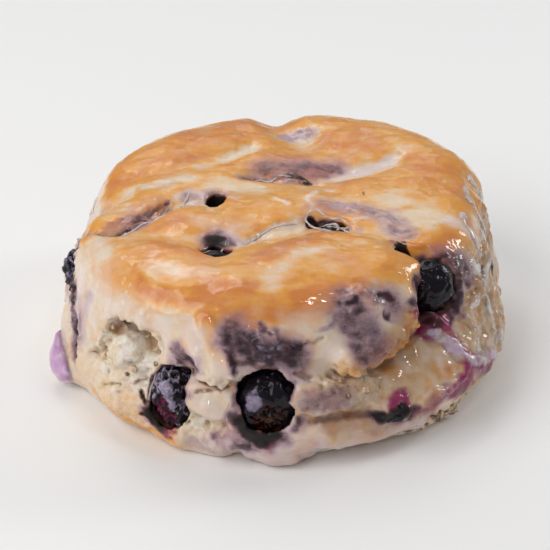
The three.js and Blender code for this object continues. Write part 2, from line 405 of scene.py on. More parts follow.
def noise_value(tree, place, size, detail, roughness=0.55):
    """Noise whose lumps have this size in mm."""
    inputs = {"Vector": place, "Scale": 1 / (size * MM), "Detail": detail, "Roughness": roughness}
    return put(tree, "ShaderNodeTexNoise", inputs).outputs["Fac"]


def start_group(name, inputs, outputs):
    """An empty shader node group with these named sockets, and its two end nodes."""
    tree = bpy.data.node_groups.new(name, "ShaderNodeTree")
    for socket_name, kind in inputs.items():
        tree.interface.new_socket(socket_name, in_out="INPUT", socket_type=kind)
    for socket_name, kind in outputs.items():
        tree.interface.new_socket(socket_name, in_out="OUTPUT", socket_type=kind)
    return tree, put(tree, "NodeGroupInput").outputs, put(tree, "NodeGroupOutput").inputs


def place_group(tree, name, inputs):
    """Adds a node group with its named inputs set or linked."""
    return put(tree, "ShaderNodeGroup", inputs, node_tree=bpy.data.node_groups[name]).outputs


def start_material(name):
    """A new material with its tree, its shader and the piece's own coordinates."""
    material = bpy.data.materials.new(name)
    material.use_nodes = True
    tree = material.node_tree
    place = put(tree, "ShaderNodeTexCoord").outputs["Object"]
    return material, tree, tree.nodes["Principled BSDF"], place


def add_bump(tree, shader, height, depth, strength):
    """Relief from a height that reaches this depth in mm."""
    bump = put(tree, "ShaderNodeBump", {"Height": height, "Distance": depth * MM, "Strength": strength})
    tree.links.new(bump.outputs["Normal"], shader.inputs["Normal"])


# ---------------------------------------------------------------- shader groups

NUMBER, COLOUR, VECTOR = "NodeSocketFloat", "NodeSocketColor", "NodeSocketVector"
WHITE = (1, 1, 1, 1)
NEAR_BLACK = (0.010, 0.005, 0.005, 1)
# Scale of the wisps that break up a stain.
WISPS_PER_MM = 0.43


def streaks(tree, place, size, detail=5.0):
    """Noise drawn out from side to side, for lumps of about this size in mm."""
    inputs = {"Vector": place, "Rotation": (0, 0, 0.2), "Scale": (0.42, 1.15, 1.0)}
    drawn = put(tree, "ShaderNodeMapping", inputs).outputs[0]
    return noise_value(tree, drawn, size, detail, 0.6)


def golden_crust_group():
    """Crust that goes from pale dough through gold to orange brown."""
    tree, take, give = start_group(
        "golden_crust",
        {"Place": VECTOR, "Browned": NUMBER, "Dough": COLOUR, "Golden": COLOUR, "Brown": COLOUR},
        {"Colour": COLOUR},
    )
    drawn = streaks(tree, take["Place"], 1.7)
    blotch = noise_value(tree, take["Place"], 2.6, 4)
    uneven = calculate(tree, "MULTIPLY_ADD", drawn, 0.7, calculate(tree, "MULTIPLY", blotch, 0.3))
    level = calculate(tree, "SUBTRACT", calculate(tree, "ADD", take["Browned"], uneven), 0.5)
    gold = mix(tree, ramped(tree, level, 0.0, 0.55), take["Dough"], take["Golden"])
    brown = mix(tree, ramped(tree, level, 0.42, 1.05), gold, take["Brown"])
    tree.links.new(brown, give["Colour"])


def torn_crumb_group():
    """Open crumb of cream lumps, and painted shade that browns the recesses and pores."""
    tree, take, give = start_group(
        "torn_crumb",
        {"Place": VECTOR, "Under": COLOUR, "Crumb": COLOUR, "Amount": NUMBER, "Recess Shade": NUMBER},
        {"Colour": COLOUR, "Height": NUMBER},
    )
    grain = noise_value(tree, take["Place"], 0.9, 5, 0.7)
    lumps = noise_value(tree, take["Place"], 3.2, 3, 0.5)
    shade = mix(tree, ramped(tree, grain, 0.34, 0.55), (0.84, 0.75, 0.64, 1), WHITE)
    tone = mix(tree, ramped(tree, lumps, 0.38, 0.62), (0.93, 0.84, 0.70, 1), WHITE)
    crumb = mix(tree, 1.0, mix(tree, 1.0, take["Crumb"], shade, "MULTIPLY"), tone, "MULTIPLY")
    colour = mix(tree, take["Amount"], take["Under"], crumb)
    # Painted shade: recesses and pores darkened towards brown.
    pit = calculate(tree, "MULTIPLY", take["Recess Shade"], 0.8)
    dark = mix(tree, 1.0, colour, (0.45, 0.30, 0.18, 1), "MULTIPLY")
    tree.links.new(mix(tree, pit, colour, dark), give["Colour"])
    tree.links.new(calculate(tree, "MULTIPLY", grain, take["Amount"]), give["Height"])


def berry_stain_group():
    """Violet and magenta stains in what lies under, and by the Dark input the painted shade of holes, cracks
    and ragged edges and the dark of berry smears.
    """
    tree, take, give = start_group(
        "berry_stain",
        {
            "Place": VECTOR,
            "Under": COLOUR,
            "Stain": COLOUR,
            "Juice": COLOUR,
            "Violet": NUMBER,
            "Magenta": NUMBER,
            "Dark": NUMBER,
        },
        {"Colour": COLOUR},
    )
    violet, magenta = take["Violet"], take["Magenta"]
    ragged = {"Scale": WISPS_PER_MM / MM, "Detail": 5, "Roughness": 0.6, "Distortion": 0.3}
    wisps = put(tree, "ShaderNodeTexNoise", {"Vector": take["Place"], **ragged}).outputs["Fac"]
    runs = streaks(tree, take["Place"], 1.8, 4.0)
    blot = calculate(tree, "MULTIPLY_ADD", calculate(tree, "ADD", wisps, runs), 0.9, -0.9)

    def blotted(amount, share):
        """The amount, broken up by a share of the blots."""
        return calculate(tree, "ADD", amount, calculate(tree, "MULTIPLY", blot, share))

    shaded = mix(tree, 1.0, take["Under"], (0.70, 0.54, 0.65, 1), "MULTIPLY")
    tint = mix(tree, 0.4, shaded, (0.38, 0.28, 0.40, 1))
    present = ramped(tree, violet, 0.02, 0.2)
    thin = calculate(tree, "MULTIPLY", ramped(tree, blotted(violet, 0.35), -0.05, 0.6), present)
    heavy = calculate(tree, "MULTIPLY", ramped(tree, blotted(violet, 0.8), 0.35, 0.95), present)
    stained = mix(tree, heavy, mix(tree, thin, take["Under"], tint), take["Stain"])
    wet = ramped(tree, magenta, 0.02, 0.2)
    juicy = calculate(tree, "MULTIPLY", ramped(tree, blotted(magenta, 0.5), 0.1, 0.85), wet)
    juiced = mix(tree, juicy, stained, take["Juice"])
    # Dark: painted shade, dimming to brown and then near black, and dark berry smears.
    depth = blotted(take["Dark"], 0.35)
    open_dark = ramped(tree, take["Dark"], 0.02, 0.2)
    hole = calculate(tree, "MULTIPLY", ramped(tree, depth, 0.05, 0.5), open_dark)
    shade = mix(tree, 1.0, juiced, (0.34, 0.22, 0.17, 1), "MULTIPLY")
    dim = mix(tree, hole, juiced, shade)
    tree.links.new(mix(tree, ramped(tree, depth, 0.5, 0.95), dim, NEAR_BLACK), give["Colour"])


def sugar_glaze_group():
    """A whitish film that veils what lies under it, and its ripples."""
    tree, take, give = start_group(
        "sugar_glaze",
        {"Place": VECTOR, "Under": COLOUR, "Glaze": COLOUR, "Amount": NUMBER},
        {"Colour": COLOUR, "Height": NUMBER, "Wet": NUMBER},
    )
    cloud = noise_value(tree, take["Place"], 3.0, 4, 0.6)
    drawn = streaks(tree, take["Place"], 1.3)
    lines = calculate(tree, "MULTIPLY_ADD", drawn, 0.45, -0.45)
    uneven = calculate(tree, "MULTIPLY_ADD", cloud, 0.45, lines)
    level = calculate(tree, "ADD", take["Amount"], uneven)
    veil = calculate(tree, "MULTIPLY", ramped(tree, level, 0.0, 1.1), 0.82)
    tree.links.new(mix(tree, veil, take["Under"], take["Glaze"]), give["Colour"])
    ripple = noise_value(tree, take["Place"], 1.3, 3, 0.5)
    grain = noise_value(tree, take["Place"], 0.45, 2, 0.5)
    tree.links.new(calculate(tree, "MULTIPLY_ADD", grain, 0.12, ripple), give["Height"])
    glossy = noise_value(tree, take["Place"], 2.4, 3, 0.6)
    tree.links.new(ramped(tree, glossy, 0.4, 0.6, 0.3, 1.0), give["Wet"])


class BISCUIT_OT_groups(bpy.types.Operator):
    """Builds the shader node groups that the materials share"""

    bl_idname = "biscuit.groups"
    bl_label = "Shader groups"

    def execute(self, context):
        golden_crust_group()
        torn_crumb_group()
        berry_stain_group()
        sugar_glaze_group()
        return {"FINISHED"}


# ---------------------------------------------------------------- stage


class BISCUIT_OT_stage(bpy.types.Operator):
    """Adds the floor, the camera at the photograph's angle and the soft studio light"""

    bl_idname = "biscuit.stage"
    bl_label = "Stage"

    CAMERA_ELEVATION = math.radians(30)
    CAMERA_DISTANCE = 0.301
    CAMERA_AIM = Vector((-0.0016, 0, 0.0125))
    CAMERA_LENS = 100
    SENSOR = 36
    NEAREST_SEEN = 0.01
    FLOOR_SIZE = 3
    FLOOR_GREY = (0.94, 0.94, 0.94, 1)
    ROOM_LIGHT = 0.27
    # Name, direction it stands in, distance, width, watts, colour.
    LAMPS = (
        ("key", (-0.8, -0.45, 0.8), 0.6, 0.45, 1.88, (1.0, 0.985, 0.965)),
        ("overhead", (-0.1, 0.75, 0.85), 0.65, 0.5, 0.66, (1.0, 0.99, 0.98)),
        ("glint", (-0.25, 0.5, 0.88), 0.6, 0.24, 0.42, (1.0, 1.0, 1.0)),
        ("right_strip", (0.9, 0.3, 0.5), 0.5, 0.12, 0.5, (0.97, 0.98, 1.0)),
        ("front_glint", (-0.35, -0.9, 0.6), 0.6, 0.04, 0.14, (1.0, 1.0, 1.0)),
        ("high_glint", (0.35, -0.1, 1.0), 0.6, 0.04, 0.12, (1.0, 1.0, 1.0)),
    )

    def execute(self, context):
        self.add_floor()
        self.add_camera(context.scene)
        for lamp in self.LAMPS:
            self.add_lamp(*lamp)
        self.light_room(context.scene)
        return {"FINISHED"}

    def add_floor(self):
        bpy.ops.mesh.primitive_plane_add(size=self.FLOOR_SIZE, location=(0, 0, 0))
        floor = bpy.context.object
        floor.name = "floor"
        material = bpy.data.materials.new("pale_floor")
        material.use_nodes = True
        shader = material.node_tree.nodes["Principled BSDF"]
        shader.inputs["Base Color"].default_value = self.FLOOR_GREY
        shader.inputs["Roughness"].default_value = 0.95
        shader.inputs["Specular IOR Level"].default_value = 0.1
        floor.data.materials.append(material)

    def add_camera(self, scene):
        back = Vector((0, -math.cos(self.CAMERA_ELEVATION), math.sin(self.CAMERA_ELEVATION)))
        bpy.ops.object.camera_add(location=self.CAMERA_AIM + back * self.CAMERA_DISTANCE)
        camera = bpy.context.object
        camera.rotation_euler = back.to_track_quat("Z", "Y").to_euler()
        camera.data.lens = self.CAMERA_LENS
        camera.data.sensor_width = self.SENSOR
        camera.data.clip_start = self.NEAREST_SEEN
        scene.camera = camera

    def add_lamp(self, name, direction, distance, width, watts, colour):
        direction = Vector(direction).normalized()
        bpy.ops.object.light_add(type="AREA", location=direction * distance)
        lamp = bpy.context.object
        lamp.name = name
        lamp.rotation_euler = direction.to_track_quat("Z", "Y").to_euler()
        lamp.data.size = width
        lamp.data.energy = watts
        lamp.data.color = colour

    def light_room(self, scene):
        world = bpy.data.worlds.new("room")
        world.use_nodes = True
        background = world.node_tree.nodes["Background"]
        background.inputs["Color"].default_value = WHITE
        background.inputs["Strength"].default_value = self.ROOM_LIGHT
        scene.world = world
        scene.view_settings.view_transform = "Standard"


# ---------------------------------------------------------------- dough


# Corners of a node's facets that lie closer than this are one point.
SAME_POINT = 0.002 * MM


def copy_node(node, name):
    """A merged copy of a frame node as a new piece."""
    piece = new_piece(name, frame["nodes"][node].data)
    select_only(piece)
    bpy.ops.object.mode_set(mode="EDIT")
    bpy.ops.mesh.select_all(action="SELECT")
    bpy.ops.mesh.remove_doubles(threshold=SAME_POINT)
    bpy.ops.object.mode_set(mode="OBJECT")
    piece.data.materials.clear()
    return piece


def berry_nodes():
    return sorted(name for name in frame["nodes"] if name.startswith("berry_"))


def berry_piece(node):
    """Name of the piece made for a berry's node."""
    return node.replace("berry_", "blueberry_")


def centre_and_half(node):
    """Centre and half sizes of a frame node's box."""
    low, high = (np.array(corner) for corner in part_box(node))
    return (low + high) / 2, (high - low) / 2


def berry_stain(points, reach):
    """How close each point is to a berry's skin, from 1 at the skin to 0 at this reach in mm."""
    best = np.zeros(len(points))
    for node in berry_nodes():
        centre, half = centre_and_half(node)
        gap = (np.linalg.norm((points - centre) / half, axis=1) - 1) * half.mean()
        best = np.maximum(best, 1 - smoothstep(0, reach * MM, gap))
    return best


class BISCUIT_OT_dough(bpy.types.Operator):
    """Models the dough: a fine skin on the frame's biscuit, with torn layers, pores, cracks and masks"""

    bl_idname = "biscuit.dough"
    bl_label = "Dough"

    # Edge length of the skin that layers and holes are shaped on, before the fine one.
    FIRST_GRAIN = 0.5 * MM
    # Share of the fine skin's triangles that is kept, the flattest parts thinned first, and of the base's.
    KEPT_SHARE = 0.7
    KEPT_OF_BASE = 0.1
    # Highest that a face of the flat base lies.
    BASE_HEIGHT = 0.02 * MM
    # Ragged layer edges on the side: the places along the edge, and how far the layer above stands out.
    LEDGES = (
        (
            ((282, 16.4), (286, 16), (291, 16.6), (296, 17), (299, 18), (303, 18.6), (306, 21), (308, 23)),
            1.9,
        ),
        (((248, 18), (251, 16.4), (256, 15.6), (261, 17)), 1.2),
        (((217, 12), (220, 13.9), (224, 18.4), (228.6, 21.6), (232, 22), (238, 19)), 1.2),
        (((12, 13), (24, 15.5), (37, 15), (52, 17.5), (66, 14), (78, 15.5)), 1.4),
        (((94, 19), (108, 16.5), (121, 17.5), (133, 15.5), (146, 19)), 1.3),
        (((146, 11), (156, 13.5), (165, 12), (175, 14)), 1.0),
    )
    # Berries with glaze over them, and how much larger the glaze makes them.
    WRAPPED = {
        "berry_low_right": 1.13,
        "berry_top_back": 1.27,
        "berry_ledge": 1.10,
        "berry_front_upper": 1.10,
        "berry_crease": 1.06,
    }
    # Holes in the top: places, radius and depth, in mm.
    HOLES = (
        (((-12.8, -1.4), (-12.8, -3.2)), 1.5, 2.6),
        (((-12.9, -18.9), (-12.1, -19.2)), 1.5, 0.0),
        (((21.5, -18.5), (23.2, -19.6), (25.4, -19.9)), 1.15, 3.0),
        (((5.4, -10.2), (8, -11)), 1.1, 1.2),
        (((10, -12), (11.6, -12.6)), 0.7, 1.0),
    )
    # Torn, open crumb.
    CRUMB = (
        (SIDE, ((225, 14.5), (229, 17.8), (235, 17)), 4.4, 1.0),
        (SIDE, ((222, 12), (228, 11), (237, 11.5)), 3.2, 0.8),
        (SIDE, ((227, 6.5), (237, 6)), 2.8, 0.6),
        (SIDE, ((250, 7.6), (256, 7)), 1.6, 1.0),
        (SIDE, ((274.5, 13.6), (281, 14), (290.4, 13.8)), 2.5, 1.0),
        (SIDE, ((300, 3), (308, 3.6), (318, 4)), 1.5, 0.8),
        (SIDE, ((18, 10), (30, 12), (42, 11)), 4.2, 1.0),
        (SIDE, ((60, 9), (72, 11)), 3.4, 0.9),
        (SIDE, ((101, 12), (113, 13.5), (126, 11)), 4.4, 1.0),
        (SIDE, ((160, 7), (171, 9.5), (182, 8.5)), 3.8, 1.0),
        (SIDE, ((140, 6), (146, 8)), 2.6, 0.9),
    )
    # Lumps and runs that stand out.
    LUMPS = (
        (SIDE, ((228, 16), (231, 17.5)), 2.8, 1.5),
        (SIDE, ((227, 8), (233, 8.6)), 3.2, 0.6),
        (SIDE, ((275, 13.4), (281, 14.0), (288, 13.4)), 2.9, 1.2),
        (SIDE, ((286, 14), (289, 14.2)), 1.3, 1.5),
        (SIDE, ((250.5, 13), (255, 12.4)), 3.0, 0.8),
        (SIDE, ((251.5, 26), (254.5, 22), (256, 19.5)), 2.2, 0.7),
        (SIDE, ((290, 27.5), (292, 25)), 4.0, 0.7),
        (SIDE, ((264, 1.6), (271, 1.6)), 2.0, 0.8),
        (SIDE, ((256, 5), (262, 4), (276, 4.6), (290, 5), (302, 6)), 1.4, 0.5),
        (SIDE, ((313.5, 19), (315.6, 17), (317, 14.4), (318.3, 12)), 1.7, 0.9),
        (SIDE, ((318.3, 12), (313, 10), (307, 9.8), (301.5, 9.2)), 1.1, 0.7),
        (SIDE, ((318.3, 12), (322, 10.6), (328, 9.2)), 1.3, 0.8),
        (TOP, RIGHT_SMEAR, 1.0, 0.25),
        (SIDE, ((346, 24), (341, 19), (330, 18), (324, 17.6)), 0.9, 0.8),
        (SIDE, ((325, 17), (326, 13.6), (322, 12.5)), 0.8, 0.7),
        (SIDE, ((357, 24), (354, 19), (349, 14)), 1.3, 0.7),
        (SIDE, ((344, 15), (339, 11), (336, 8)), 1.6, 0.8),
        (SIDE, ((335, 20), (337, 16)), 1.0, 0.5),
        (SIDE, ((8, 22), (12, 17)), 1.4, 0.6),
        (SIDE, ((58, 24), (62, 18)), 1.6, 0.7),
        (SIDE, ((84, 8), (90, 5)), 2.0, 0.8),
        (SIDE, ((148, 12), (150, 8)), 1.5, 0.7),
        (SIDE, ((28, 9), (34, 10)), 2.4, 1.0),
        (SIDE, ((109, 10.5), (116, 11)), 2.6, 1.1),
        (SIDE, ((170, 8), (175, 8.5)), 2.2, 1.0),
    )
    # Hollows in the side.
    HOLLOWS = (
        (SIDE, ((223, 17), (226, 20), (230.5, 21.2), (235, 19.8), (237.5, 18)), 1.3, 1.5),
        (SIDE, ((222.6, 13.2),), 0.9, 1.6),
        (SIDE, ((235.5, 18), (233.5, 15.4)), 0.9, 0.7),
        (SIDE, ((245, 14), (248, 18)), 1.6, 0.6),
        (SIDE, ((252, 8.5), (256, 8.2)), 1.7, 0.8),
        (SIDE, ((306, 18.5), (312, 19.5)), 2.2, 0.9),
        (SIDE, ((283, 15), (290, 15.4), (297, 15.6)), 1.4, 0.6),
        (SIDE, ((274, 9.8), (284, 10.6), (291, 10)), 1.0, 0.7),
        (SIDE, ((24, 13.6), (38, 13.4)), 1.7, 1.0),
        (SIDE, ((178, 28), (186, 25), (190, 21), (192, 15)), 4.4, 1.5),
        (SIDE, ((176, 22), (182, 15), (186, 9)), 4.6, 1.4),
        (SIDE, ((198, 9), (205, 6.4)), 3.4, 0.6),
        (SIDE, ((12, 27), (6, 25), (0, 22)), 4.0, 0.7),
        (SIDE, ((250, 1.4), (258, 1.4)), 2.2, 1.0),
        (SIDE, ((277, 1.4), (288, 1.6), (298, 2.4)), 2.2, 0.9),
        (SIDE, ((241, 12), (245, 11), (248, 8)), 0.8, 0.6),
        (SIDE, ((104, 14.5), (118, 15.3)), 1.7, 1.0),
    )
    # Edges with a ragged, broken relief.
    RAGS = (
        (SIDE, ((304.5, 23), (303.5, 20.6), (299, 18.6), (291, 17.8), (284, 17)), 2.2, 1.0),
        (SIDE, ((250, 17.4), (256, 16.4), (261, 17.4)), 1.6, 0.8),
        (SIDE, ((218, 13), (222, 18), (228, 22), (236, 21)), 1.4, 0.8),
        (SIDE, ((199, 27), (202, 23), (204, 19), (208, 14), (211, 9)), 2.0, 1.0),
        (SIDE, ((242, 6), (246, 4.6), (258, 4)), 1.8, 0.8),
        (SIDE, ((322, 24), (335, 22), (350, 20), (362, 22)), 5.0, 0.7),
        (SIDE, ((326, 14), (340, 12), (355, 12)), 4.0, 0.6),
        (SIDE, ((252, 1), (280, 1), (303, 2.4)), 1.6, 0.5),
        (SIDE, ((300, 3.6), (309, 4.4), (320, 5)), 2.2, 1.0),
        (SIDE, ((257, 24), (263, 22), (269, 20), (272, 17)), 3.4, 0.3),
        (SIDE, ((275, 13.6), (282, 14.6), (289, 14)), 2.4, 0.9),
        (SIDE, ((216, 9), (226, 6.5), (238, 3)), 3.0, 0.45),
    )
    # Narrow cracks.
    CRACKS = (
        (SIDE, ((198, 26), (201, 22), (205, 18.4), (209, 15), (211, 12), (212.6, 8)), 0.6, 1.1),
        (SIDE, ((219, 12.5), (221, 13.6)), 0.8, 1.2),
        (SIDE, ((226, 9), (231, 10.5), (234, 12)), 0.4, 0.7),
        (SIDE, ((222, 16), (225, 18.6), (229, 20.6), (233, 21)), 0.5, 0.8),
        (SIDE, ((238, 21), (240, 18.5)), 0.45, 0.7),
        (SIDE, ((248, 16), (251, 15.3), (256, 14.6), (260, 15.4)), 0.45, 1.0),
        (SIDE, ((262, 15.5), (268, 18.4), (276, 16.4)), 0.45, 0.8),
        (SIDE, ((283, 15.6), (289, 16.4), (296, 16.8)), 0.5, 0.7),
        (SIDE, ((262, 24.5), (272, 22.5), (280, 23)), 0.4, 0.5),
        (SIDE, ((20, 15), (38, 14.4), (54, 16.8), (70, 13.6)), 0.45, 0.7),
        (SIDE, ((100, 17.5), (118, 16.6), (134, 15)), 0.45, 0.7),
        (TOP, ((-39, -11), *LEFT_CREASE, (-24.5, -8.4)), 0.5, 1.1),
        (TOP, CREASE_FORK, 0.5, 0.8),
        (TOP, CREASE_TIP, 0.8, 0.7),
        (TOP, ((-7, 7.6), (-3.6, 7.9), (0.5, 7.4), (4.8, 6)), 0.6, 0.45),
        (TOP, FRONT_SEAM, 0.5, 0.35),
    )
    # Soft dips and raised wrinkles of the top: negative is a dip.
    WAVES = (
        (TOP, ((-12.9, -5.0), (-12.9, -7)), 1.9, -0.8),
        (TOP, ((-16, 10.9), (-11, 15), (-6.8, 18.5)), 1.6, -0.35),
        (TOP, ((-30, 4), (-24, 2.6), (-19, 6)), 2.0, -0.3),
        (TOP, ((2.1, 27), (6, 26)), 2.4, -0.5),
        (TOP, ((11, 9.5), (17.8, 12.2), (22, 13.8)), 2.2, -0.5),
        (TOP, ((-8.1, -17.9), (-4.3, -15.3), (3, -11), (5, -9.8)), 1.3, -0.45),
        (TOP, ((-2.5, -2), (-0.6, -4), (1.8, -5.6)), 0.6, 0.3),
        (TOP, ((5, -2.6), (7.2, 0.6)), 0.8, 0.25),
        (TOP, ((-3.5, -26.3), (0.9, -21.3), (6, -17)), 2.2, 0.35),
        (TOP, ((-22.9, -21), (-15, -25)), 2.0, 0.3),
        (TOP, ((-18.8, 15.2), (-10, 21)), 2.6, 0.3),
        (TOP, ((14.9, -17.6), (8, -15.5)), 1.4, 0.3),
    )

    def execute(self, context):
        piece = self.wrapped_berries(copy_node("biscuit", "dough"))
        finish_modifier(piece, "REMESH", mode="VOXEL", voxel_size=self.FIRST_GRAIN)
        finish_modifier(piece, "SMOOTH", factor=0.5, iterations=6)
        self.tear_layers(piece)
        self.sink_holes(piece)
        finish_modifier(piece, "REMESH", mode="VOXEL", voxel_size=settings().grain)
        finish_modifier(piece, "SMOOTH", factor=0.5, iterations=3)
        self.carve(piece)
        self.thin_base(piece)
        finish_modifier(piece, "DECIMATE", ratio=self.KEPT_SHARE)
        self.mark_crumb(piece)
        paint_dough(piece)
        bpy.ops.object.shade_smooth()
        piece.data.materials.append(dough_material())
        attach(piece, "root")
        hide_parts("biscuit")
        return {"FINISHED"}

    def wrapped_berries(self, piece):
        """Joins a slightly larger copy of each glazed-over berry to the dough, for the glaze on it."""
        shells = []
        for node, growth in self.WRAPPED.items():
            shell = copy_node(node, "shell")
            low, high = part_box(node)
            centre = np.array((low + high) / 2)
            write_points(shell.data, centre + (read_points(shell.data) - centre) * growth)
            shells.append(shell)
        return join_all([piece, *shells])

    def tear_layers(self, piece):
        """Pushes the layer above each ledge out, so that its ragged edge overhangs."""
        mesh = piece.data
        points = read_points(mesh)
        outward = points * (1, 1, 0)
        outward /= np.maximum(np.linalg.norm(outward, axis=1), MM)[:, None]
        degrees = compass(points)
        broad, small = noise_field(points, 3.0, 3, 2), noise_field(points, 1.2, 5, 3)
        height = points[:, 2] / MM + 1.3 * broad + 1.1 * small
        ragged = noise_field(points, 1.5, 6, 3)
        moves = np.zeros(len(points))
        drops = np.zeros(len(points))
        on_side = smoothstep(0.6, 0.85, np.hypot(points[:, 0], points[:, 1]) / HIGH.x)
        for path, reach in self.LEDGES:
            start, end = path[0][0], path[-1][0]
            edge = np.interp(degrees, *zip(*path))
            along = smoothstep(start - 2, start + 4, degrees) * (1 - smoothstep(end - 4, end + 2, degrees))
            above = height - edge
            lip = smoothstep(-0.35, 0.35, above) * (1 - smoothstep(1.5, 7.5, above))
            under = smoothstep(-5, -1, above) * (1 - smoothstep(-0.4, 0.2, above))
            edge_band = 1 - smoothstep(0.8, 3.2, np.abs(above))
            moves += along * on_side * (reach * lip - 0.55 * reach * under + 0.9 * ragged * edge_band)
            drops += along * on_side * 0.8 * smoothstep(-0.3, 0.4, above) * (1 - smoothstep(0.6, 2.4, above))
        points += outward * moves[:, None] * MM
        points[:, 2] = np.maximum(points[:, 2] - drops * MM * (points[:, 2] > 3 * MM), 0)
        write_points(mesh, points)

    def sink_holes(self, piece):
        """Lets the top down inside each hole's outline."""
        points = read_points(piece.data)
        for places, radius, depth in self.HOLES:
            inside = 1 - smoothstep(0.75, 1.15, from_above(points, places) / (radius * MM))
            points[:, 2] -= depth * MM * inside * (points[:, 2] > UPPER * MM)
        write_points(piece.data, points)

    def loosened(self, points):
        """The points, moved about so that strokes get uneven outlines."""
        return warped(warped(points, 5, 1.0, 20), 1.6, 0.45, 23)

    def carve(self, piece):
        """Cuts lumps, hollows, pores, cracks and waves into the fine skin."""
        mesh = piece.data
        surface = Surface(mesh)
        points = read_points(mesh)
        normals = read_points(mesh, "normal")
        loose = self.loosened(points)
        crumb = painted(loose, surface, self.CRUMB, 0.25)
        base = smoothstep(0.15 * MM, 1.2 * MM, points[:, 2])
        moves = painted(loose, surface, self.LUMPS, 0.35) - painted(loose, surface, self.HOLLOWS, 0.5)
        moves -= settings().crack_depth / MM * painted(loose, surface, self.CRACKS, 0.5)
        for *wave, strength in self.WAVES:
            moves += strength * painted(loose, surface, [(*wave, 1.0)], 0.8)
        moves += crumb * self.crumb_relief(points, crumb)
        moves += (1 - crumb) * 0.15 * noise_field(points, 3.0, 31, 3, (1.6, 1, 0.8))
        moves += (1 - crumb) * 0.06 * noise_field(points, 1.2, 32, 2)
        moves += 0.55 * painted(loose, surface, self.RAGS, 0.6) * noise_field(points, 1.1, 34, 3)
        moves += berry_stain(points, 1.6) * (0.9 * noise_field(points, 2.6, 35, 2) - 0.1)
        points += normals * (moves * base * MM)[:, None]
        points[:, 2] = np.maximum(points[:, 2], 0)
        write_points(mesh, points)

    def mark_crumb(self, piece):
        """Masks the torn crumb on the finished skin."""
        points = read_points(piece.data)
        crumb = painted(self.loosened(points), Surface(piece.data), self.CRUMB, 0.25)
        set_mask(piece.data, "crumb", crumb)

    def crumb_relief(self, points, crumb):
        """Lumps, pits and pores of torn crumb, in mm."""
        torn = crumb > 0.01
        relief = np.zeros(len(points))
        where = points[torn]
        lumps = 0.7 * noise_field(where, 3.4, 41, 3) + 0.16 * noise_field(where, 0.9, 42, 2)
        near, pick = cell_field(where, 2.4, 43)
        pores = (1 - smoothstep(0.1, 0.34, near)) * (pick > 0.5)
        fine, fine_pick = cell_field(where, 1.1, 44)
        pores = np.maximum(pores, 0.5 * (1 - smoothstep(0.12, 0.38, fine)) * (fine_pick > 0.7))
        relief[torn] = lumps - 0.15 - settings().pore_depth / MM * pores
        return relief

    def thin_base(self, piece):
        """Leaves only a coarse net on the flat base."""
        polygons = piece.data.polygons
        flat = [p.normal.z < -0.999 and p.center.z < self.BASE_HEIGHT for p in polygons]
        edit_chosen(piece, "FACE", flat)
        bpy.ops.mesh.select_less()
        bpy.ops.mesh.decimate(ratio=self.KEPT_OF_BASE)
        bpy.ops.object.mode_set(mode="OBJECT")


# Gold and brown of the crust.
BROWNING = (
    (TOP, ((-30, 14), (-24, 20)), 3.0, 0.16),
    (TOP, ((26, 4), (30, -4)), 3.0, 0.14),
    (TOP, ((-22.6, 12.2), (-18.8, 15.2), (-10, 26)), 5.0, 0.26),
    (TOP, ((-20, 22), (-10.1, 28.2), (-3, 30)), 4.5, 0.3),
    (TOP, ((-34.4, 3), (-33, 9)), 1.6, 0.45),
    (TOP, ((-31, 8), (-27, 10)), 2.2, 0.3),
    (TOP, ((-31.4, -18.7), (-28, -22)), 1.4, 0.25),
    (TOP, ((-22.9, -21), (-15, -24.5)), 2.2, 0.3),
    (TOP, ((-26.4, -29.2), (-24.9, -31.7), (-21.4, -34.2), (-18.2, -36), (-13.5, -37)), 1.2, 0.5),
    (TOP, ((-13.4, -35), (-10.7, -34.4), (-7, -35.5)), 1.8, 0.5),
    (TOP, ((2.7, -36.6), (7.9, -34), (13, -32.4)), 1.7, 0.45),
    (TOP, ((-3.5, -26.3), (0.9, -21.3), (6, -16.8)), 2.6, 0.42),
    (TOP, ((9.2, -24.8), (11.7, -28.4)), 2.6, 0.34),
    (TOP, ((14.9, -17.6), (8.5, -16)), 1.5, 0.3),
    (TOP, ((15.8, 24), (19.3, 17.6)), 3.6, 0.34),
    (TOP, ((9.6, 22.5), (12.5, 17.8)), 2.4, 0.4),
    (TOP, ((32.5, 9), (25, 13.5), (34, 2)), 3.2, 0.3),
    (TOP, ((30.4, -15.8), (29.2, -18.8), (31.8, -11)), 1.6, 0.5),
    (TOP, ((3.4, 14.2), (6.9, 11.7), (-1, 13)), 3.0, 0.3),
    (TOP, ((9, 6.4), (13, 5.4), (18, 5)), 1.2, 0.25),
    (TOP, ((-18, -12), (-24, -14)), 2.0, 0.25),
    (SIDE, ((303.5, 22.5), (302.5, 20), (299, 18.2), (292, 18), (287, 17.4)), 2.6, 0.3),
    (SIDE, ((254, 28.5), (262, 27.4), (272, 27), (280, 28)), 1.6, 0.35),
    (SIDE, ((251, 27.5), (254, 24), (256, 20)), 1.6, 0.26),
    (SIDE, ((222, 6.4), (228, 5.4), (234, 4.4), (243, 3)), 3.4, 0.34),
    (SIDE, ((222, 2.4), (232, 1.4), (240, 0.8)), 1.6, 0.4),
    (SIDE, ((226, 10), (232, 9)), 2.0, 0.3),
    (SIDE, ((308, 13.5), (313, 12)), 1.6, 0.3),
)
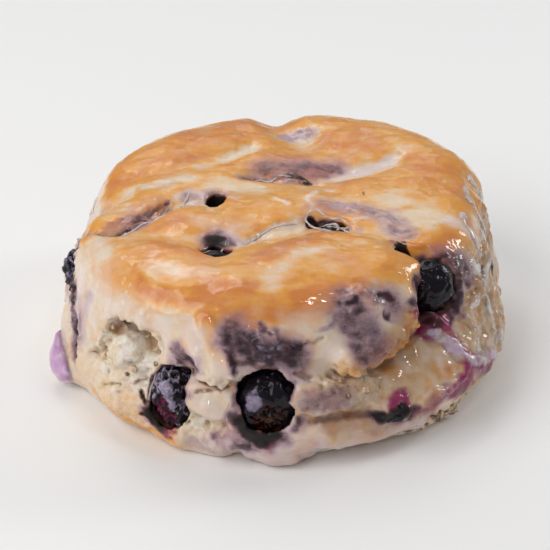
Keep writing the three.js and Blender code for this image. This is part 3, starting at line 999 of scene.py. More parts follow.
# Pale parts.
PALING = (
    (SIDE, ((206, 17), (211, 14), (217, 10.4), (221, 8)), 3.0, 0.4),
    (TOP, ((-16, 10.9), (-11, 15.2), (-6.8, 18.5)), 1.9, 0.36),
    (TOP, ((-29, 3), (-24.4, 1.7), (-19, 5)), 2.4, 0.36),
    (TOP, ((-33.6, -9.2), (-30.9, -5)), 3.0, 0.25),
    (TOP, ((-16.1, -2), (-12, 2.5), (-6, 1)), 2.6, 0.35),
    (TOP, ((-32.8, -21.2), (-35, -18)), 3.4, 0.5),
    (TOP, ((-28.7, -16.7), (-24, -17.5)), 2.0, 0.2),
    (TOP, ((-22, -29), (-18, -30.5), (-13, -31.5)), 2.8, 0.12),
    (TOP, ((-2.6, -34), (-0.7, -29.7)), 2.4, 0.18),
    (TOP, ((-0.7, -29.7), (3, -24.5), (9.1, -22.4)), 1.7, 0.15),
    (TOP, ((-8.1, -17.9), (-4.3, -15.1), (2.9, -10.4)), 1.6, 0.3),
    (TOP, ((2.1, 27), (6, 26.6)), 2.2, 0.4),
    (TOP, ((24.2, 17), (22, 19)), 2.6, 0.25),
    (TOP, BACK_RIGHT_GROOVE, 2.4, 0.5),
    (TOP, ((26.6, -8.1), (29.3, -11.4), (22, -6)), 4.0, 0.32),
    (TOP, RIGHT_SMEAR, 2.6, 0.3),
    (SIDE, ((287, 27.5), (292, 26), (298, 25.5)), 4.0, 0.7),
)
# White pools and runs of glaze.
POOLS = (
    (TOP, ((5.6, -6.6), (4.6, -4.3), (5.8, -1.5), (7.4, 0.4), (9.3, 0.6)), 0.55, 0.95),
    (TOP, ((9.4, -6.2), (12.9, -5.5), (14.9, -6.3), (16.8, -8.2), (18.4, -9.4)), 0.7, 1.0),
    (TOP, ((12.3, -10.6), (15, -9.8), (17.6, -11.2)), 0.6, 0.95),
    (TOP, ((-3.4, -2.2), (-1.9, -3.1), (-0.4, -4.6), (1.2, -6.0)), 0.5, 0.95),
    (SIDE, ((312.8, 17.8), (314, 16), (317.4, 12.4)), 1.2, 0.9),
    (TOP, ((-16, -11.6), (-12.6, -13.4), (-8, -13)), 2.0, 0.45),
    (SIDE, ((208, 25), (211, 19), (210, 12)), 1.7, 0.95),
    (SIDE, ((226, 21.5), (230, 24), (236, 23)), 1.4, 0.7),
    (SIDE, ((342, 30), (343, 27), (341, 24.6)), 1.6, 0.95),
    (SIDE, ((352, 27), (356, 24)), 2.0, 0.8),
    (TOP, ((-16, 10.9), (-12, 14.6), (-6.8, 18.5)), 1.3, 0.5),
    (TOP, ((-21.9, -3.6), (-20.6, -1.2), (-18.4, 0), (-15.8, -0.4), (-14.6, -4.4)), 1.0, 0.9),
    (TOP, ((-34, -14), (-30, -13.4), (-26, -11), (-23.4, -9.4)), 0.8, 0.8),
    (TOP, ((-11.6, -0.4), (-9, -3.2)), 0.9, 0.5),
    (TOP, ((-30, 4.5), (-25, 3), (-20, 5.5)), 1.4, 0.5),
    (TOP, ((-32.8, -21.2), (-34, -18.8)), 2.6, 0.6),
    (TOP, ((-23, -28.5), (-19.3, -30), (-13, -31.4)), 2.6, 0.42),
    (TOP, ((-2.6, -34), (-1, -30.5)), 2.2, 0.52),
    (TOP, ((-0.7, -29.4), (3, -24.8), (8, -22.6)), 1.5, 0.45),
    (TOP, ((-10, -15.4), (-8, -16.9), (-7.6, -19)), 1.9, 1.0),
    (TOP, FRONT_SEAM, 0.7, 0.85),
    (TOP, ((0.4, 27.2), (4.4, 26.6)), 1.3, 0.85),
    (TOP, BACK_RIGHT_GROOVE, 1.5, 0.85),
    (TOP, ((21, 13), (24, 17.5)), 1.6, 0.5),
    (TOP, ((10.6, -4.6), (17, -7.6), (21.5, -13.6)), 2.0, 0.3),
    (SIDE, ((212, 23), (220, 26)), 5.0, 0.6),
    (SIDE, ((226, 25.5), (240, 24)), 3.5, 0.55),
    (SIDE, ((246, 25.5), (249.5, 24)), 1.4, 0.85),
    (SIDE, ((214, 18), (212, 14)), 2.6, 0.75),
    (SIDE, ((252, 13.4), (255, 11.6)), 3.4, 0.9),
    (SIDE, ((250, 3), (262, 2.6), (280, 3), (296, 4), (304, 5)), 2.8, 0.85),
    (SIDE, ((274, 25.6), (281, 24.6)), 3.0, 0.6),
    (SIDE, ((279, 21), (282, 19)), 2.0, 0.5),
)
# Where hardly any glaze ran.
BARE = (
    (SIDE, ((213, 9), (220, 8), (228, 6), (236, 3.4), (244, 2)), 3.4, 0.95),
    (SIDE, ((225, 12), (232, 9.4)), 2.4, 0.7),
    (SIDE, ((304.5, 23), (303, 20.4), (299, 18.6), (290, 17.8), (284, 17.4)), 1.8, 0.9),
    (TOP, ((-24, -32), (-18, -35.6), (-12, -36.4), (-6, -36)), 2.4, 0.7),
    (TOP, ((3, -36.4), (10, -34), (15, -31)), 2.4, 0.7),
    (TOP, ((-20, 20), (-10, 27), (4, 30)), 4.0, 0.4),
    (SIDE, ((160, 3), (180, 4), (200, 4)), 3.4, 0.7),
)
# Dough soaked through with glaze, darker and tan; across the right side this darkening is also painted
# shade.
SOAK_AND_SHADE = (
    (SIDE, ((302.6, 23), (299.6, 20.6), (295, 20)), 2.4, 1.0),
    (SIDE, ((251.4, 13), (255, 11.6)), 2.6, 0.35),
    (SIDE, ((286, 11.5), (298, 14), (310, 14.5), (322, 18)), 5.5, 0.8),
    (SIDE, ((322, 22), (335, 20), (350, 20), (365, 22)), 7.0, 1.0),
    (SIDE, ((325, 10), (345, 9), (365, 10)), 7.0, 0.8),
    (SIDE, ((280, 9), (290, 8), (304, 9)), 2.6, 0.95),
    (SIDE, ((275, 13.4), (286, 13.4)), 3.0, 1.0),
    (SIDE, ((304, 23), (303, 20), (298.5, 18.6), (290, 18.4)), 1.8, 0.6),
    (SIDE, ((320, 27), (330, 26), (345, 26)), 3.0, 0.5),
    (SIDE, ((60, 22), (80, 21)), 6.0, 0.4),
    (SIDE, ((130, 23), (150, 22)), 6.0, 0.4),
)
# Violet stains of berries that lie under the surface.
VIOLET = (
    (TOP, ((-18.6, -0.6), (-16, -1.6), (-13.6, 0.4), (-11, -0.8)), 1.7, 0.4),
    (TOP, ((-22, 3.6), (-27, 3)), 1.6, 0.12),
    (TOP, ((1, 27), (5, 26.6)), 2.0, 0.46),
    (TOP, ((13, 10.4), (20, 13)), 2.0, 0.18),
    (TOP, ((5, -6.6), (4.2, -9.6), (5.4, -12.4), (9, -13.6), (13, -13.4)), 1.4, 0.26),
    (TOP, ((19.6, -17.4), (22, -18.8), (25.4, -19.2), (28, -20.6)), 1.1, 0.4),
    (SIDE, ((311, 26.5), (313, 19), (320, 17.6), (326, 20), (326.6, 25)), 1.6, 0.9),
    (SIDE, ((306, 24.5), (308, 20)), 1.5, 0.85),
    (SIDE, ((214.5, 22), (212.5, 15)), 1.6, 0.3),
    (SIDE, ((243.5, 17), (246, 12)), 1.6, 0.5),
    (SIDE, ((258.5, 6), (262, 4.6), (266, 4.4)), 1.6, 0.55),
    (SIDE, ((272, 11), (274.6, 8.6)), 1.0, 0.5),
    (SIDE, ((275, 13.4), (282.6, 13.6)), 3.0, 0.4),
    (SIDE, ((259.6, 9.6), (262, 7), (265, 5.4), (269, 7)), 2.0, 0.8),
    (SIDE, ((258.6, 4.6), (261.6, 4)), 1.1, 0.8),
    (SIDE, ((271, 12.4), (273, 8.6)), 1.1, 0.8),
    (SIDE, ((238, 11), (239, 7), (241, 5)), 1.9, 0.95),
    (SIDE, ((244, 15.4), (248, 13.6)), 1.2, 0.6),
    (SIDE, ((184, 26), (190, 22), (196, 15)), 2.6, 0.7),
    (SIDE, ((178, 24), (184, 17), (190, 11)), 2.6, 0.4),
    (TOP, ((-14, -12.4), (-9, -13.4)), 1.8, 0.14),
    (TOP, ((-9, -15.6), (-7.2, -18)), 1.5, 0.24),
    (SIDE, ((312.6, 18.4), (314.6, 15.4), (317, 12.6)), 1.5, 0.16),
    (SIDE, ((280, 8), (290, 7)), 2.6, 0.16),
    (SIDE, ((259, 24), (263, 22.5), (268, 21.5), (272, 20)), 3.4, 0.84),
    (SIDE, ((257.6, 22), (259, 19)), 1.0, 0.9),
    (SIDE, ((264, 26.5), (268, 24.5)), 0.7, 0.75),
    (SIDE, ((262, 21), (267, 20.2), (272, 18.6)), 1.3, 0.95),
    (SIDE, ((245.5, 20.5), (249, 18.6)), 2.0, 0.74),
    (SIDE, ((245, 18.4), (247, 17)), 0.8, 0.8),
    (SIDE, ((197, 25), (200, 22), (204, 18.6)), 2.6, 0.9),
    (SIDE, ((206, 17), (209.6, 14), (212, 9)), 1.7, 0.75),
    (SIDE, ((211.4, 17), (212.4, 15.2)), 1.2, 0.6),
    (SIDE, ((211, 19), (213, 13)), 2.2, 0.36),
    (SIDE, ((199, 10), (204, 8.5)), 3.4, 0.3),
    (SIDE, ((285.6, 28), (289, 25.4), (290.6, 20.5)), 3.6, 0.72),
    (SIDE, ((293, 28.6), (299, 27), (300, 25)), 2.6, 0.58),
    (SIDE, ((297, 27.8), (299.6, 26.8)), 1.1, 1.0),
    (SIDE, ((286, 28.2), (288.4, 28.8)), 1.0, 1.0),
    (SIDE, ((286, 23), (289, 19.8), (294, 20.6)), 1.0, 0.6),
    (SIDE, ((285, 27.8), (287, 29.2), (290, 29.6)), 0.6, 0.85),
    (SIDE, ((278, 24.6), (283.5, 25)), 0.7, 0.45),
    (SIDE, ((296.4, 24.2), (298.4, 23.4)), 0.9, 0.85),
    (SIDE, ((290.6, 8.6), (294, 9.1), (297.4, 9.8)), 1.6, 0.85),
    (SIDE, ((326, 27), (332, 25.6), (331, 23)), 2.4, 0.7),
    (SIDE, ((325, 22), (324, 18)), 1.2, 0.6),
    (SIDE, ((352, 22), (354, 17)), 1.8, 0.45),
    (SIDE, ((344, 20), (348, 16)), 1.4, 0.4),
    (SIDE, ((252, 3), (262, 3), (272, 3), (284, 3.4), (296, 4.4), (303, 5.5)), 3.4, 0.24),
    (SIDE, ((255.5, 6), (257, 4)), 1.0, 0.5),
    (SIDE, ((268, 5), (271, 6)), 1.2, 0.5),
    (SIDE, ((86, 20), (92, 18)), 2.4, 0.6),
    (SIDE, ((150, 21), (154, 18)), 2.2, 0.55),
    (TOP, ((-34.5, -12.6), (-30, -10.6), (-26, -7.4), (-22, -4)), 1.5, 0.42),
    (TOP, ((-28, -6.4), (-24, -4.2)), 2.0, 0.25),
    (TOP, ((-12.6, -16.8), (-12.4, -20.4)), 3.2, 0.9),
    (TOP, ((-7.4, 6.4), (-4.2, 7.8), (0.5, 8), (4.3, 7)), 1.5, 0.62),
    (TOP, ((-3, 11), (5, 10.6), (9, 12)), 3.4, 0.6),
    (TOP, ((8, -6), (13, -6.4), (18.4, -9), (20.4, -12), (22.5, -14.6)), 2.6, 0.48),
)
# Magenta juice in the glaze.
MAGENTA = (
    (SIDE, ((308, 20.6), (312, 18.4), (317, 18.6)), 2.2, 1.0),
    (SIDE, ((316, 17.6), (318, 14.6), (318.6, 11.6)), 1.7, 0.6),
    (SIDE, ((318.3, 12), (316.6, 9.4), (312, 8.6)), 2.4, 1.0),
    (SIDE, ((312, 9.4), (306, 9), (300, 8.6)), 1.7, 0.62),
    (SIDE, ((319, 11.6), (323, 9.4), (327, 7.6)), 2.0, 0.8),
    (SIDE, ((305.6, 22.6), (307.6, 20.4)), 1.0, 0.8),
    (SIDE, ((294.6, 11.4), (296.4, 12)), 1.5, 1.0),
    (SIDE, ((243, 4.4), (246, 6), (248.4, 8.8)), 1.2, 0.95),
    (SIDE, ((304.6, 18.6), (308, 18)), 1.3, 0.7),
    (SIDE, ((243, 3.6), (246, 4.4)), 1.0, 0.8),
    (SIDE, ((297.6, 27.4), (299.4, 26.6)), 1.0, 0.24),
    (SIDE, ((206, 21.5), (207, 19.5)), 1.1, 0.6),
    (SIDE, ((256.5, 6), (257.5, 8.5)), 1.0, 0.4),
    (SIDE, ((266, 4.6), (270, 5.4)), 1.0, 0.4),
    (SIDE, ((88, 12.5), (84, 11.6)), 1.6, 0.7),
)
# Painted shade in cracks, holes, under ragged edges and along the foot, and the dark of berry skin and
# smears.
DARK = (
    (TOP, ((8, -10.6), (11.4, -12)), 0.9, 0.8),
    (TOP, LEFT_CREASE, 0.5, 0.7),
    (TOP, CREASE_FORK, 0.5, 0.4),
    (TOP, CREASE_TIP, 0.7, 0.5),
    (TOP, ((3.2, 7.4), (5, 6.8)), 0.6, 0.9),
    (TOP, ((15.3, -1.2),), 0.35, 0.8),
    (SIDE, ((198, 26), (200.6, 22.4), (203, 20)), 1.3, 0.9),
    (SIDE, ((204.6, 18.6), (208.6, 15.4), (211, 12), (212, 9.4)), 0.6, 0.75),
    (SIDE, ((222.6, 13.2),), 0.9, 1.0),
    (SIDE, ((236.6, 12.6), (234, 11.4)), 0.35, 0.35),
    (SIDE, ((223.4, 17.6), (226.4, 20.4), (230.5, 21.6), (234.4, 20.4)), 0.8, 0.5),
    (SIDE, ((237, 18.4), (238.4, 17.4)), 0.5, 0.5),
    (SIDE, ((248.6, 15.8), (251, 15.3), (256, 14.6)), 0.35, 0.4),
    (SIDE, ((274, 17.2), (276, 16.2)), 0.6, 0.3),
    (SIDE, ((282, 16.6), (286, 16), (290, 16.2), (297, 16.4), (302, 17.8), (305, 20.6)), 0.6, 0.34),
    (SIDE, ((262, 1), (275, 0.6), (290, 1), (303, 2.4)), 0.4, 0.5),
    (SIDE, ((260.8, 9.4), (262.8, 7.2), (265, 5.8)), 1.1, 1.5),
    (SIDE, ((265, 6.4), (267.6, 7.4)), 1.1, 1.4),
    (SIDE, ((238.8, 9.6), (239.6, 7.4), (241.4, 5)), 1.2, 1.4),
    (SIDE, ((236, 10.4), (238, 9.4)), 0.4, 1.0),
    (SIDE, ((236.8, 6.6), (239, 7.2)), 0.4, 1.0),
    (SIDE, ((247.6, 14.4), (250.4, 14.2), (254, 14.6)), 0.4, 0.5),
    (SIDE, ((291.4, 8.8), (294, 9.3), (296.4, 9.9)), 1.0, 1.3),
    (SIDE, ((298, 9.2), (300, 9)), 0.8, 0.4),
    (SIDE, ((306.6, 22), (309, 20)), 1.3, 0.6),
    (SIDE, ((304, 19.4), (300, 16.8), (295, 16)), 1.7, 0.38),
    (TOP, ((-12.9, -16.9), (-11.9, -17.3)), 1.5, 0.6),
    (SIDE, ((310, 17.6), (305, 14), (298, 12)), 2.6, 0.12),
    (SIDE, ((312, 7.4), (319, 7), (327, 6.4)), 1.4, 0.3),
    (SIDE, ((276, 9.4), (287, 9.6), (292, 9.4)), 0.9, 0.35),
    (SIDE, ((243.4, 20), (246, 18.4)), 0.5, 0.35),
    (SIDE, ((311, 20), (314.4, 18.8)), 1.2, 0.7),
    (SIDE, ((258, 20.6), (262, 19.4), (268, 18.4)), 0.6, 0.45),
)


# Degrees up to which the foot is browned, which leaves the photographed side pale.
BROWNED_UNTIL = 205


def paint_dough(piece):
    """Paints the dough's masks from its height, its folds, its berries and the strokes above."""
    mesh = piece.data
    surface = Surface(mesh)
    points = read_points(mesh)
    normals = read_points(mesh, "normal")
    ends = edge_ends(mesh)
    near = spread_values(points, ends, 10)
    wide = spread_values(near, ends, 60)
    pit = ((near - points) * normals).sum(axis=1) / MM
    bulge = ((points - wide) * normals).sum(axis=1) / MM
    loose = warped(warped(points, 6, 1.3, 50), 1.8, 0.5, 54)
    sharp = warped(points, 2.0, 0.35, 57)
    crumb = get_mask(mesh, "crumb")
    height = points[:, 2] / MM
    crust = smoothstep(24, 28.5, height + 1.6 * noise_field(points, 5, 58, 3))

    drawn = noise_field(points, 4.2, 60, 4, (1.9, 1.0, 0.9))
    mottle = noise_field(points, 1.6, 61, 3, (1.5, 1, 1))
    browned = 0.50 + 0.24 * drawn + 0.12 * mottle + 0.35 * bulge
    side_gold = 0.14 + 0.26 * noise_field(points, 4, 62, 3, (0.8, 0.8, 1.7))
    foot = (1 - smoothstep(0.5, 5, height)) * (0.5 + 0.4 * noise_field(points, 7, 63, 2))
    side_gold += 0.5 * foot * (compass(points) < BROWNED_UNTIL)
    browned = crust * browned + (1 - crust) * side_gold
    browned += painted(loose, surface, BROWNING, 0.8) - painted(loose, surface, PALING, 0.8)

    pools = painted(loose, surface, POOLS, 0.85)
    film = 0.12 + 0.28 * noise_field(points, 5.5, 66, 3) - 0.45 * np.clip(bulge, -0.6, 0.6)
    side_film = 0.6 + 0.45 * noise_field(points, 3.6, 67, 3, (0.75, 0.75, 1.8))
    glaze = np.maximum(crust * film + (1 - crust) * side_film, pools) * (1 - crumb)
    glaze *= 1 - painted(loose, surface, BARE, 0.8)

    stains = berry_stain(loose, 1.4) * (0.75 + 0.35 * noise_field(points, 2.4, 68, 2))
    violet = np.maximum(painted(loose, surface, VIOLET, 0.7), 0.75 * stains)
    # Deep hollows of the top: painted shade, given as violet and as dark.
    deep = smoothstep(0.55, 1.5, -bulge) * (height > UPPER) * (1 - crumb)
    set_mask(mesh, "browned", browned)
    set_mask(mesh, "glaze", glaze)
    # Soaked dough, darker and tan, and painted shade on the right side.
    set_mask(mesh, "soak_and_shade", painted(loose, surface, SOAK_AND_SHADE, 0.7) * (1 - 0.6 * crust))
    set_mask(mesh, "violet", np.maximum(violet, 0.6 * deep))
    set_mask(mesh, "magenta", painted(loose, surface, MAGENTA, 0.7))
    # Dark mask: painted shade in cracks, under ragged edges and in deep hollows, and dark berry smears.
    dark = np.maximum(painted(sharp, surface, DARK, 0.7), 0.3 * deep)
    # Holes in the top: painted shade, darker the deeper a point lies below the rim.
    for places, radius, _ in BISCUIT_OT_dough.HOLES:
        dark = np.maximum(dark, smoothstep(0.2, 1.1, below_rim(points, surface, places, radius)))
    set_mask(mesh, "dark", dark)
    # Painted shade in recesses, from how far each point lies below its smoothed neighbours.
    set_mask(mesh, "recess_shade", smoothstep(0.05, 0.45, pit))


def dough_material():
    """Golden crust, torn crumb, berry stains, a glaze film and painted shade, by the dough's masks."""
    palette = colours()
    material, tree, shader, place = start_material("glazed_dough")
    crust = place_group(
        tree,
        "golden_crust",
        {
            "Place": place,
            "Browned": read_mask(tree, "browned"),
            "Dough": opaque(palette.dough),
            "Golden": opaque(palette.golden),
            "Brown": opaque(palette.browned),
        },
    )
    soak_and_shade = read_mask(tree, "soak_and_shade")
    crumb = place_group(
        tree,
        "torn_crumb",
        {
            "Place": place,
            "Under": crust["Colour"],
            "Crumb": opaque(palette.crumb),
            "Amount": read_mask(tree, "crumb"),
            "Recess Shade": read_mask(tree, "recess_shade"),
        },
    )
    # Soaked dough's tan and darker colour, partly painted shade.
    tan = mix(tree, 1.0, crumb["Colour"], (0.62, 0.50, 0.40, 1), "MULTIPLY")
    veil = place_group(
        tree,
        "sugar_glaze",
        {
            "Place": place,
            "Under": mix(tree, soak_and_shade, crumb["Colour"], tan),
            "Glaze": opaque(palette.glaze),
            "Amount": calculate(tree, "MULTIPLY_ADD", soak_and_shade, -0.5, read_mask(tree, "glaze")),
        },
    )
    stain = place_group(
        tree,
        "berry_stain",
        {
            "Place": place,
            "Under": veil["Colour"],
            "Stain": opaque(palette.stain),
            "Juice": opaque(palette.juice),
            "Violet": read_mask(tree, "violet"),
            "Magenta": read_mask(tree, "magenta"),
            "Dark": read_mask(tree, "dark"),
        },
    )
    dry = read_mask(tree, "crumb")
    sunk = ramped(tree, read_mask(tree, "dark"), 0.3, 0.8, 1.0, 0.5)
    dull = calculate(tree, "MULTIPLY", sunk, ramped(tree, read_mask(tree, "violet"), 0.4, 0.9, 1.0, 0.5))
    damp = calculate(tree, "MULTIPLY", dull, ramped(tree, dry, 0.1, 0.6, 1.0, 0.0))
    wet = calculate(tree, "MULTIPLY", veil["Wet"], damp)
    tree.links.new(stain["Colour"], shader.inputs["Base Color"])
    tree.links.new(ramped(tree, dry, 0.0, 0.8, 0.5, 0.85), shader.inputs["Roughness"])
    tree.links.new(wet, shader.inputs["Coat Weight"])
    shader.inputs["Coat Roughness"].default_value = 0.07
    shader.inputs["Specular IOR Level"].default_value = 0.3
    shader.inputs["Subsurface Weight"].default_value = 0.35
    shader.inputs["Subsurface Radius"].default_value = (1.0, 0.5, 0.25)
    shader.inputs["Subsurface Scale"].default_value = 1.6 * MM
    fine = calculate(tree, "MULTIPLY", crumb["Height"], 0.85)
    height = calculate(tree, "MULTIPLY_ADD", veil["Height"], 0.2, fine)
    add_bump(tree, shader, height, 0.5, 0.8)
    return material


# ---------------------------------------------------------------- berries


# Where the crown starts on a berry of radius 1, and its rim, wall and floor as (inset, rise).
CROWN_START = 0.9
CROWN_STEPS = ((0.04, 0.05), (0.06, -0.16), (0.05, -0.03))


def unit_berry():
    """A berry of radius 1 with its crown at the top."""
    bpy.ops.object.select_all(action="DESELECT")
    bpy.ops.mesh.primitive_uv_sphere_add(segments=20, ring_count=14, radius=1)
    berry = bpy.context.object
    edit_chosen(berry, "FACE", [p.center.z > CROWN_START for p in berry.data.polygons])
    for inset, rise in CROWN_STEPS:
        bpy.ops.mesh.inset(thickness=inset)
        bpy.ops.transform.translate(value=(0, 0, rise))
    bpy.ops.object.mode_set(mode="OBJECT")
    finish_modifier(berry, "SUBSURF", levels=2, render_levels=2)
    return berry


# No painted highlight spot or no tear.
NONE = (0, 0, 0)


class BISCUIT_OT_berries(bpy.types.Operator):
    """Models each berry that shows, wrinkled by baking, in its own socket"""

    bl_idname = "biscuit.berries"
    bl_label = "Berries"

    # How much wider a berry is than its node, so that no gap opens round it.
    SNUG = 1.03
    # Radius of a painted highlight spot and of a tear, on a berry of radius 1.
    HIGHLIGHT_RADIUS = 0.36
    TEAR_RADIUS = 0.62
    # Node: where its crown points (degrees, elevation), wrinkle, film, painted highlight spot and tear as
    # (along, up, strength) on its shown face, seed. The highlight spot is partly a pale glaze film.
    LOOKS = {
        "berry_right": ((20, -35), 1.1, -0.6, (0.75, 0.5, 0.4), (0.3, -0.8, 0.7), 1),
        "berry_front": ((90, 10), 1.9, -0.35, (-0.42, 0.32, 0.95), (0.1, -0.2, 1.0), 2),
        "berry_front_upper": ((90, 60), 0.8, 0.5, NONE, NONE, 3),
        "berry_split": ((60, 20), 2.8, 0.0, (0.1, 0.55, 0.5), (-0.2, -0.35, 1.0), 4),
        "berry_left_edge": ((240, 50), 2.6, 0.1, NONE, (0, -0.4, 0.8), 5),
        "berry_ledge": ((100, 40), 0.6, 0.5, NONE, NONE, 6),
        "berry_low_right": ((120, -20), 1.0, -0.3, NONE, (0.7, 0.4, 0.6), 7),
        "berry_right_edge": ((335, -40), 0.9, 0.1, NONE, NONE, 8),
        "berry_top_pit": ((90, 20), 1.0, -0.6, NONE, NONE, 9),
        "berry_top_slot": ((90, 20), 1.0, -0.2, NONE, NONE, 10),
        "berry_top_back": ((90, 10), 1.6, 0.3, (0, -0.2, 0.3), NONE, 11),
        "berry_crease": ((90, 10), 0.8, 0.3, NONE, NONE, 12),
        "berry_back_left": ((150, 15), 0.9, 0.0, (0.2, 0.5, 0.5), NONE, 13),
        "berry_back": ((75, 25), 1.4, 0.05, NONE, (0.2, -0.3, 0.8), 14),
        "berry_back_right": ((30, -10), 1.0, -0.2, (-0.3, 0.4, 0.6), NONE, 15),
    }

    # Berries that show from above, those with veins of glaze on their folds, and those whose torn
    # flesh is magenta.
    ON_TOP = ("berry_top_pit", "berry_top_slot", "berry_top_back", "berry_crease")
    VEINED = {"berry_split": 0.75, "berry_left_edge": 0.6, "berry_front": 0.3, "berry_back": 0.4}
    ROSY = ("berry_split", "berry_left_edge", "berry_back")

    def execute(self, context):
        master = unit_berry()
        material = berry_material()
        for node in berry_nodes():
            self.add_berry(master, node, material)
        bpy.data.objects.remove(master, do_unlink=True)
        return {"FINISHED"}

    def add_berry(self, master, node, material):
        (degrees, elevation), wrinkle, film, spot, tear, seed = self.LOOKS[node]
        piece = new_piece(berry_piece(node), master.data)
        mesh = piece.data
        rise = math.radians(elevation)
        crown = Vector((0, -math.cos(rise), math.sin(rise))).to_track_quat("Z", "Y").to_matrix()
        turn = Matrix.Rotation(math.radians(degrees - 270), 3, "Z") @ crown
        points = read_points(mesh) @ np.array(turn).T
        centre, half = centre_and_half(node)
        half *= self.SNUG
        film_highlight = self.patch(node, centre, points, spot, self.HIGHLIGHT_RADIUS)
        split = self.patch(node, centre, points, tear, self.TEAR_RADIUS)
        dents = 0.13 * noise_field(points * MM, 0.8, seed, 2)
        folds = np.abs(noise_field(points * MM, 0.6, seed + 20, 3))
        creases = 1 - smoothstep(0.0, 0.2, folds)
        veins = 1 - smoothstep(0.02, 0.2, np.abs(noise_field(points * MM, 0.42, seed + 30, 3)))
        depth = wrinkle * settings().wrinkle / half.mean()
        crumple = split * 0.22 * noise_field(points * MM, 0.33, seed + 40, 3)
        veins *= self.VEINED.get(node, 0)
        scale = 1 + dents + depth * (0.7 * veins - creases) - 0.16 * split + crumple
        patches = noise_field(points * MM, 0.7, seed + 60, 3)
        points *= scale[:, None]
        reach = np.abs(points).max(axis=0)
        write_points(mesh, centre + points * half / np.maximum(reach, 1))
        glazed = film + veins + 0.3 * patches
        # The film mask also carries the painted highlight spot.
        set_mask(mesh, "film", glazed * (1 - 0.6 * split) + film_highlight * (0.8 + 0.3 * patches))
        set_mask(mesh, "rosy", (node in self.ROSY) * np.ones(len(split)))
        set_mask(mesh, "flesh", split * 1.3 - film_highlight)
        mesh.materials.append(material)
        select_only(piece)
        bpy.ops.object.shade_smooth()
        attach(piece, "root")
        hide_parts(node)

    def patch(self, node, centre, points, spot, radius):
        """How far each point lies in a round patch at (along, up) on the berry's shown face."""
        along, up, strength = spot
        if node in self.ON_TOP:
            shown, across, rise = np.eye(3)[2], np.eye(3)[0], np.eye(3)[1]
        else:
            shown = centre * (1, 1, 0) / np.hypot(centre[0], centre[1])
            across, rise = np.array((-shown[1], shown[0], 0)), np.eye(3)[2]
        middle = shown * math.sqrt(max(0, 1 - along**2 - up**2)) + across * along + rise * up
        wavy = points + 0.16 * np.stack([noise_field(points * MM, 0.6, 90 + k, 2) for k in range(3)], 1)
        away = np.linalg.norm(wavy - middle, axis=1)
        return strength * (1 - smoothstep(0.7 * radius, 1.3 * radius, away))


def berry_material():
    """Near black skin with pale film and a painted highlight spot, and red brown flesh where it is torn."""
    palette = colours()
    material, tree, shader, place = start_material("baked_berry")
    patchy = noise_value(tree, place, 0.8, 4, 0.6)
    thin = calculate(tree, "SUBTRACT", read_mask(tree, "film"), 0.35)
    film = calculate(tree, "MULTIPLY_ADD", patchy, 0.7, thin)
    bloomed = mix(tree, ramped(tree, film, 0.1, 0.8), opaque(palette.skin), opaque(palette.bloom))
    # Thick film and the painted highlight spot turn milky white.
    milky = mix(tree, ramped(tree, film, 0.75, 1.3), bloomed, (0.55, 0.50, 0.60, 1))
    streaky = streaks(tree, place, 1.6, 4.0)
    brown = mix(tree, ramped(tree, streaky, 0.45, 0.72), (0.010, 0.003, 0.003, 1), (0.13, 0.028, 0.008, 1))
    rosy = mix(tree, ramped(tree, patchy, 0.42, 0.68), (0.012, 0.003, 0.008, 1), (0.24, 0.018, 0.075, 1))
    torn = mix(tree, read_mask(tree, "rosy"), brown, rosy)
    flesh = mix(tree, ramped(tree, read_mask(tree, "flesh"), 0.2, 0.9), milky, torn)
    tree.links.new(flesh, shader.inputs["Base Color"])
    tree.links.new(ramped(tree, film, 0.2, 0.8, 0.25, 0.5), shader.inputs["Roughness"])
    shader.inputs["Specular IOR Level"].default_value = 0.05
    shader.inputs["Coat Weight"].default_value = 0.42
    shader.inputs["Coat Roughness"].default_value = 0.04
    add_bump(tree, shader, noise_value(tree, place, 0.9, 3, 0.5), 0.25, 0.8)
    return material


# ---------------------------------------------------------------- glaze


# Edge length of the skin that runs and drips are lifted from, and the film too thin for a piece.
HOST_GRAIN = 0.45 * MM
NO_FILM = 0.02


def build_host():
    """One smooth skin over the dough and its berries, for glaze that flows over both."""
    names = ["dough", *map(berry_piece, berry_nodes())]
    host = join_all([new_piece("host", bpy.data.objects[name].data) for name in names])
    host.data.materials.clear()
    finish_modifier(host, "REMESH", mode="VOXEL", voxel_size=HOST_GRAIN)
    finish_modifier(host, "SMOOTH", factor=0.5, iterations=10)
    return host


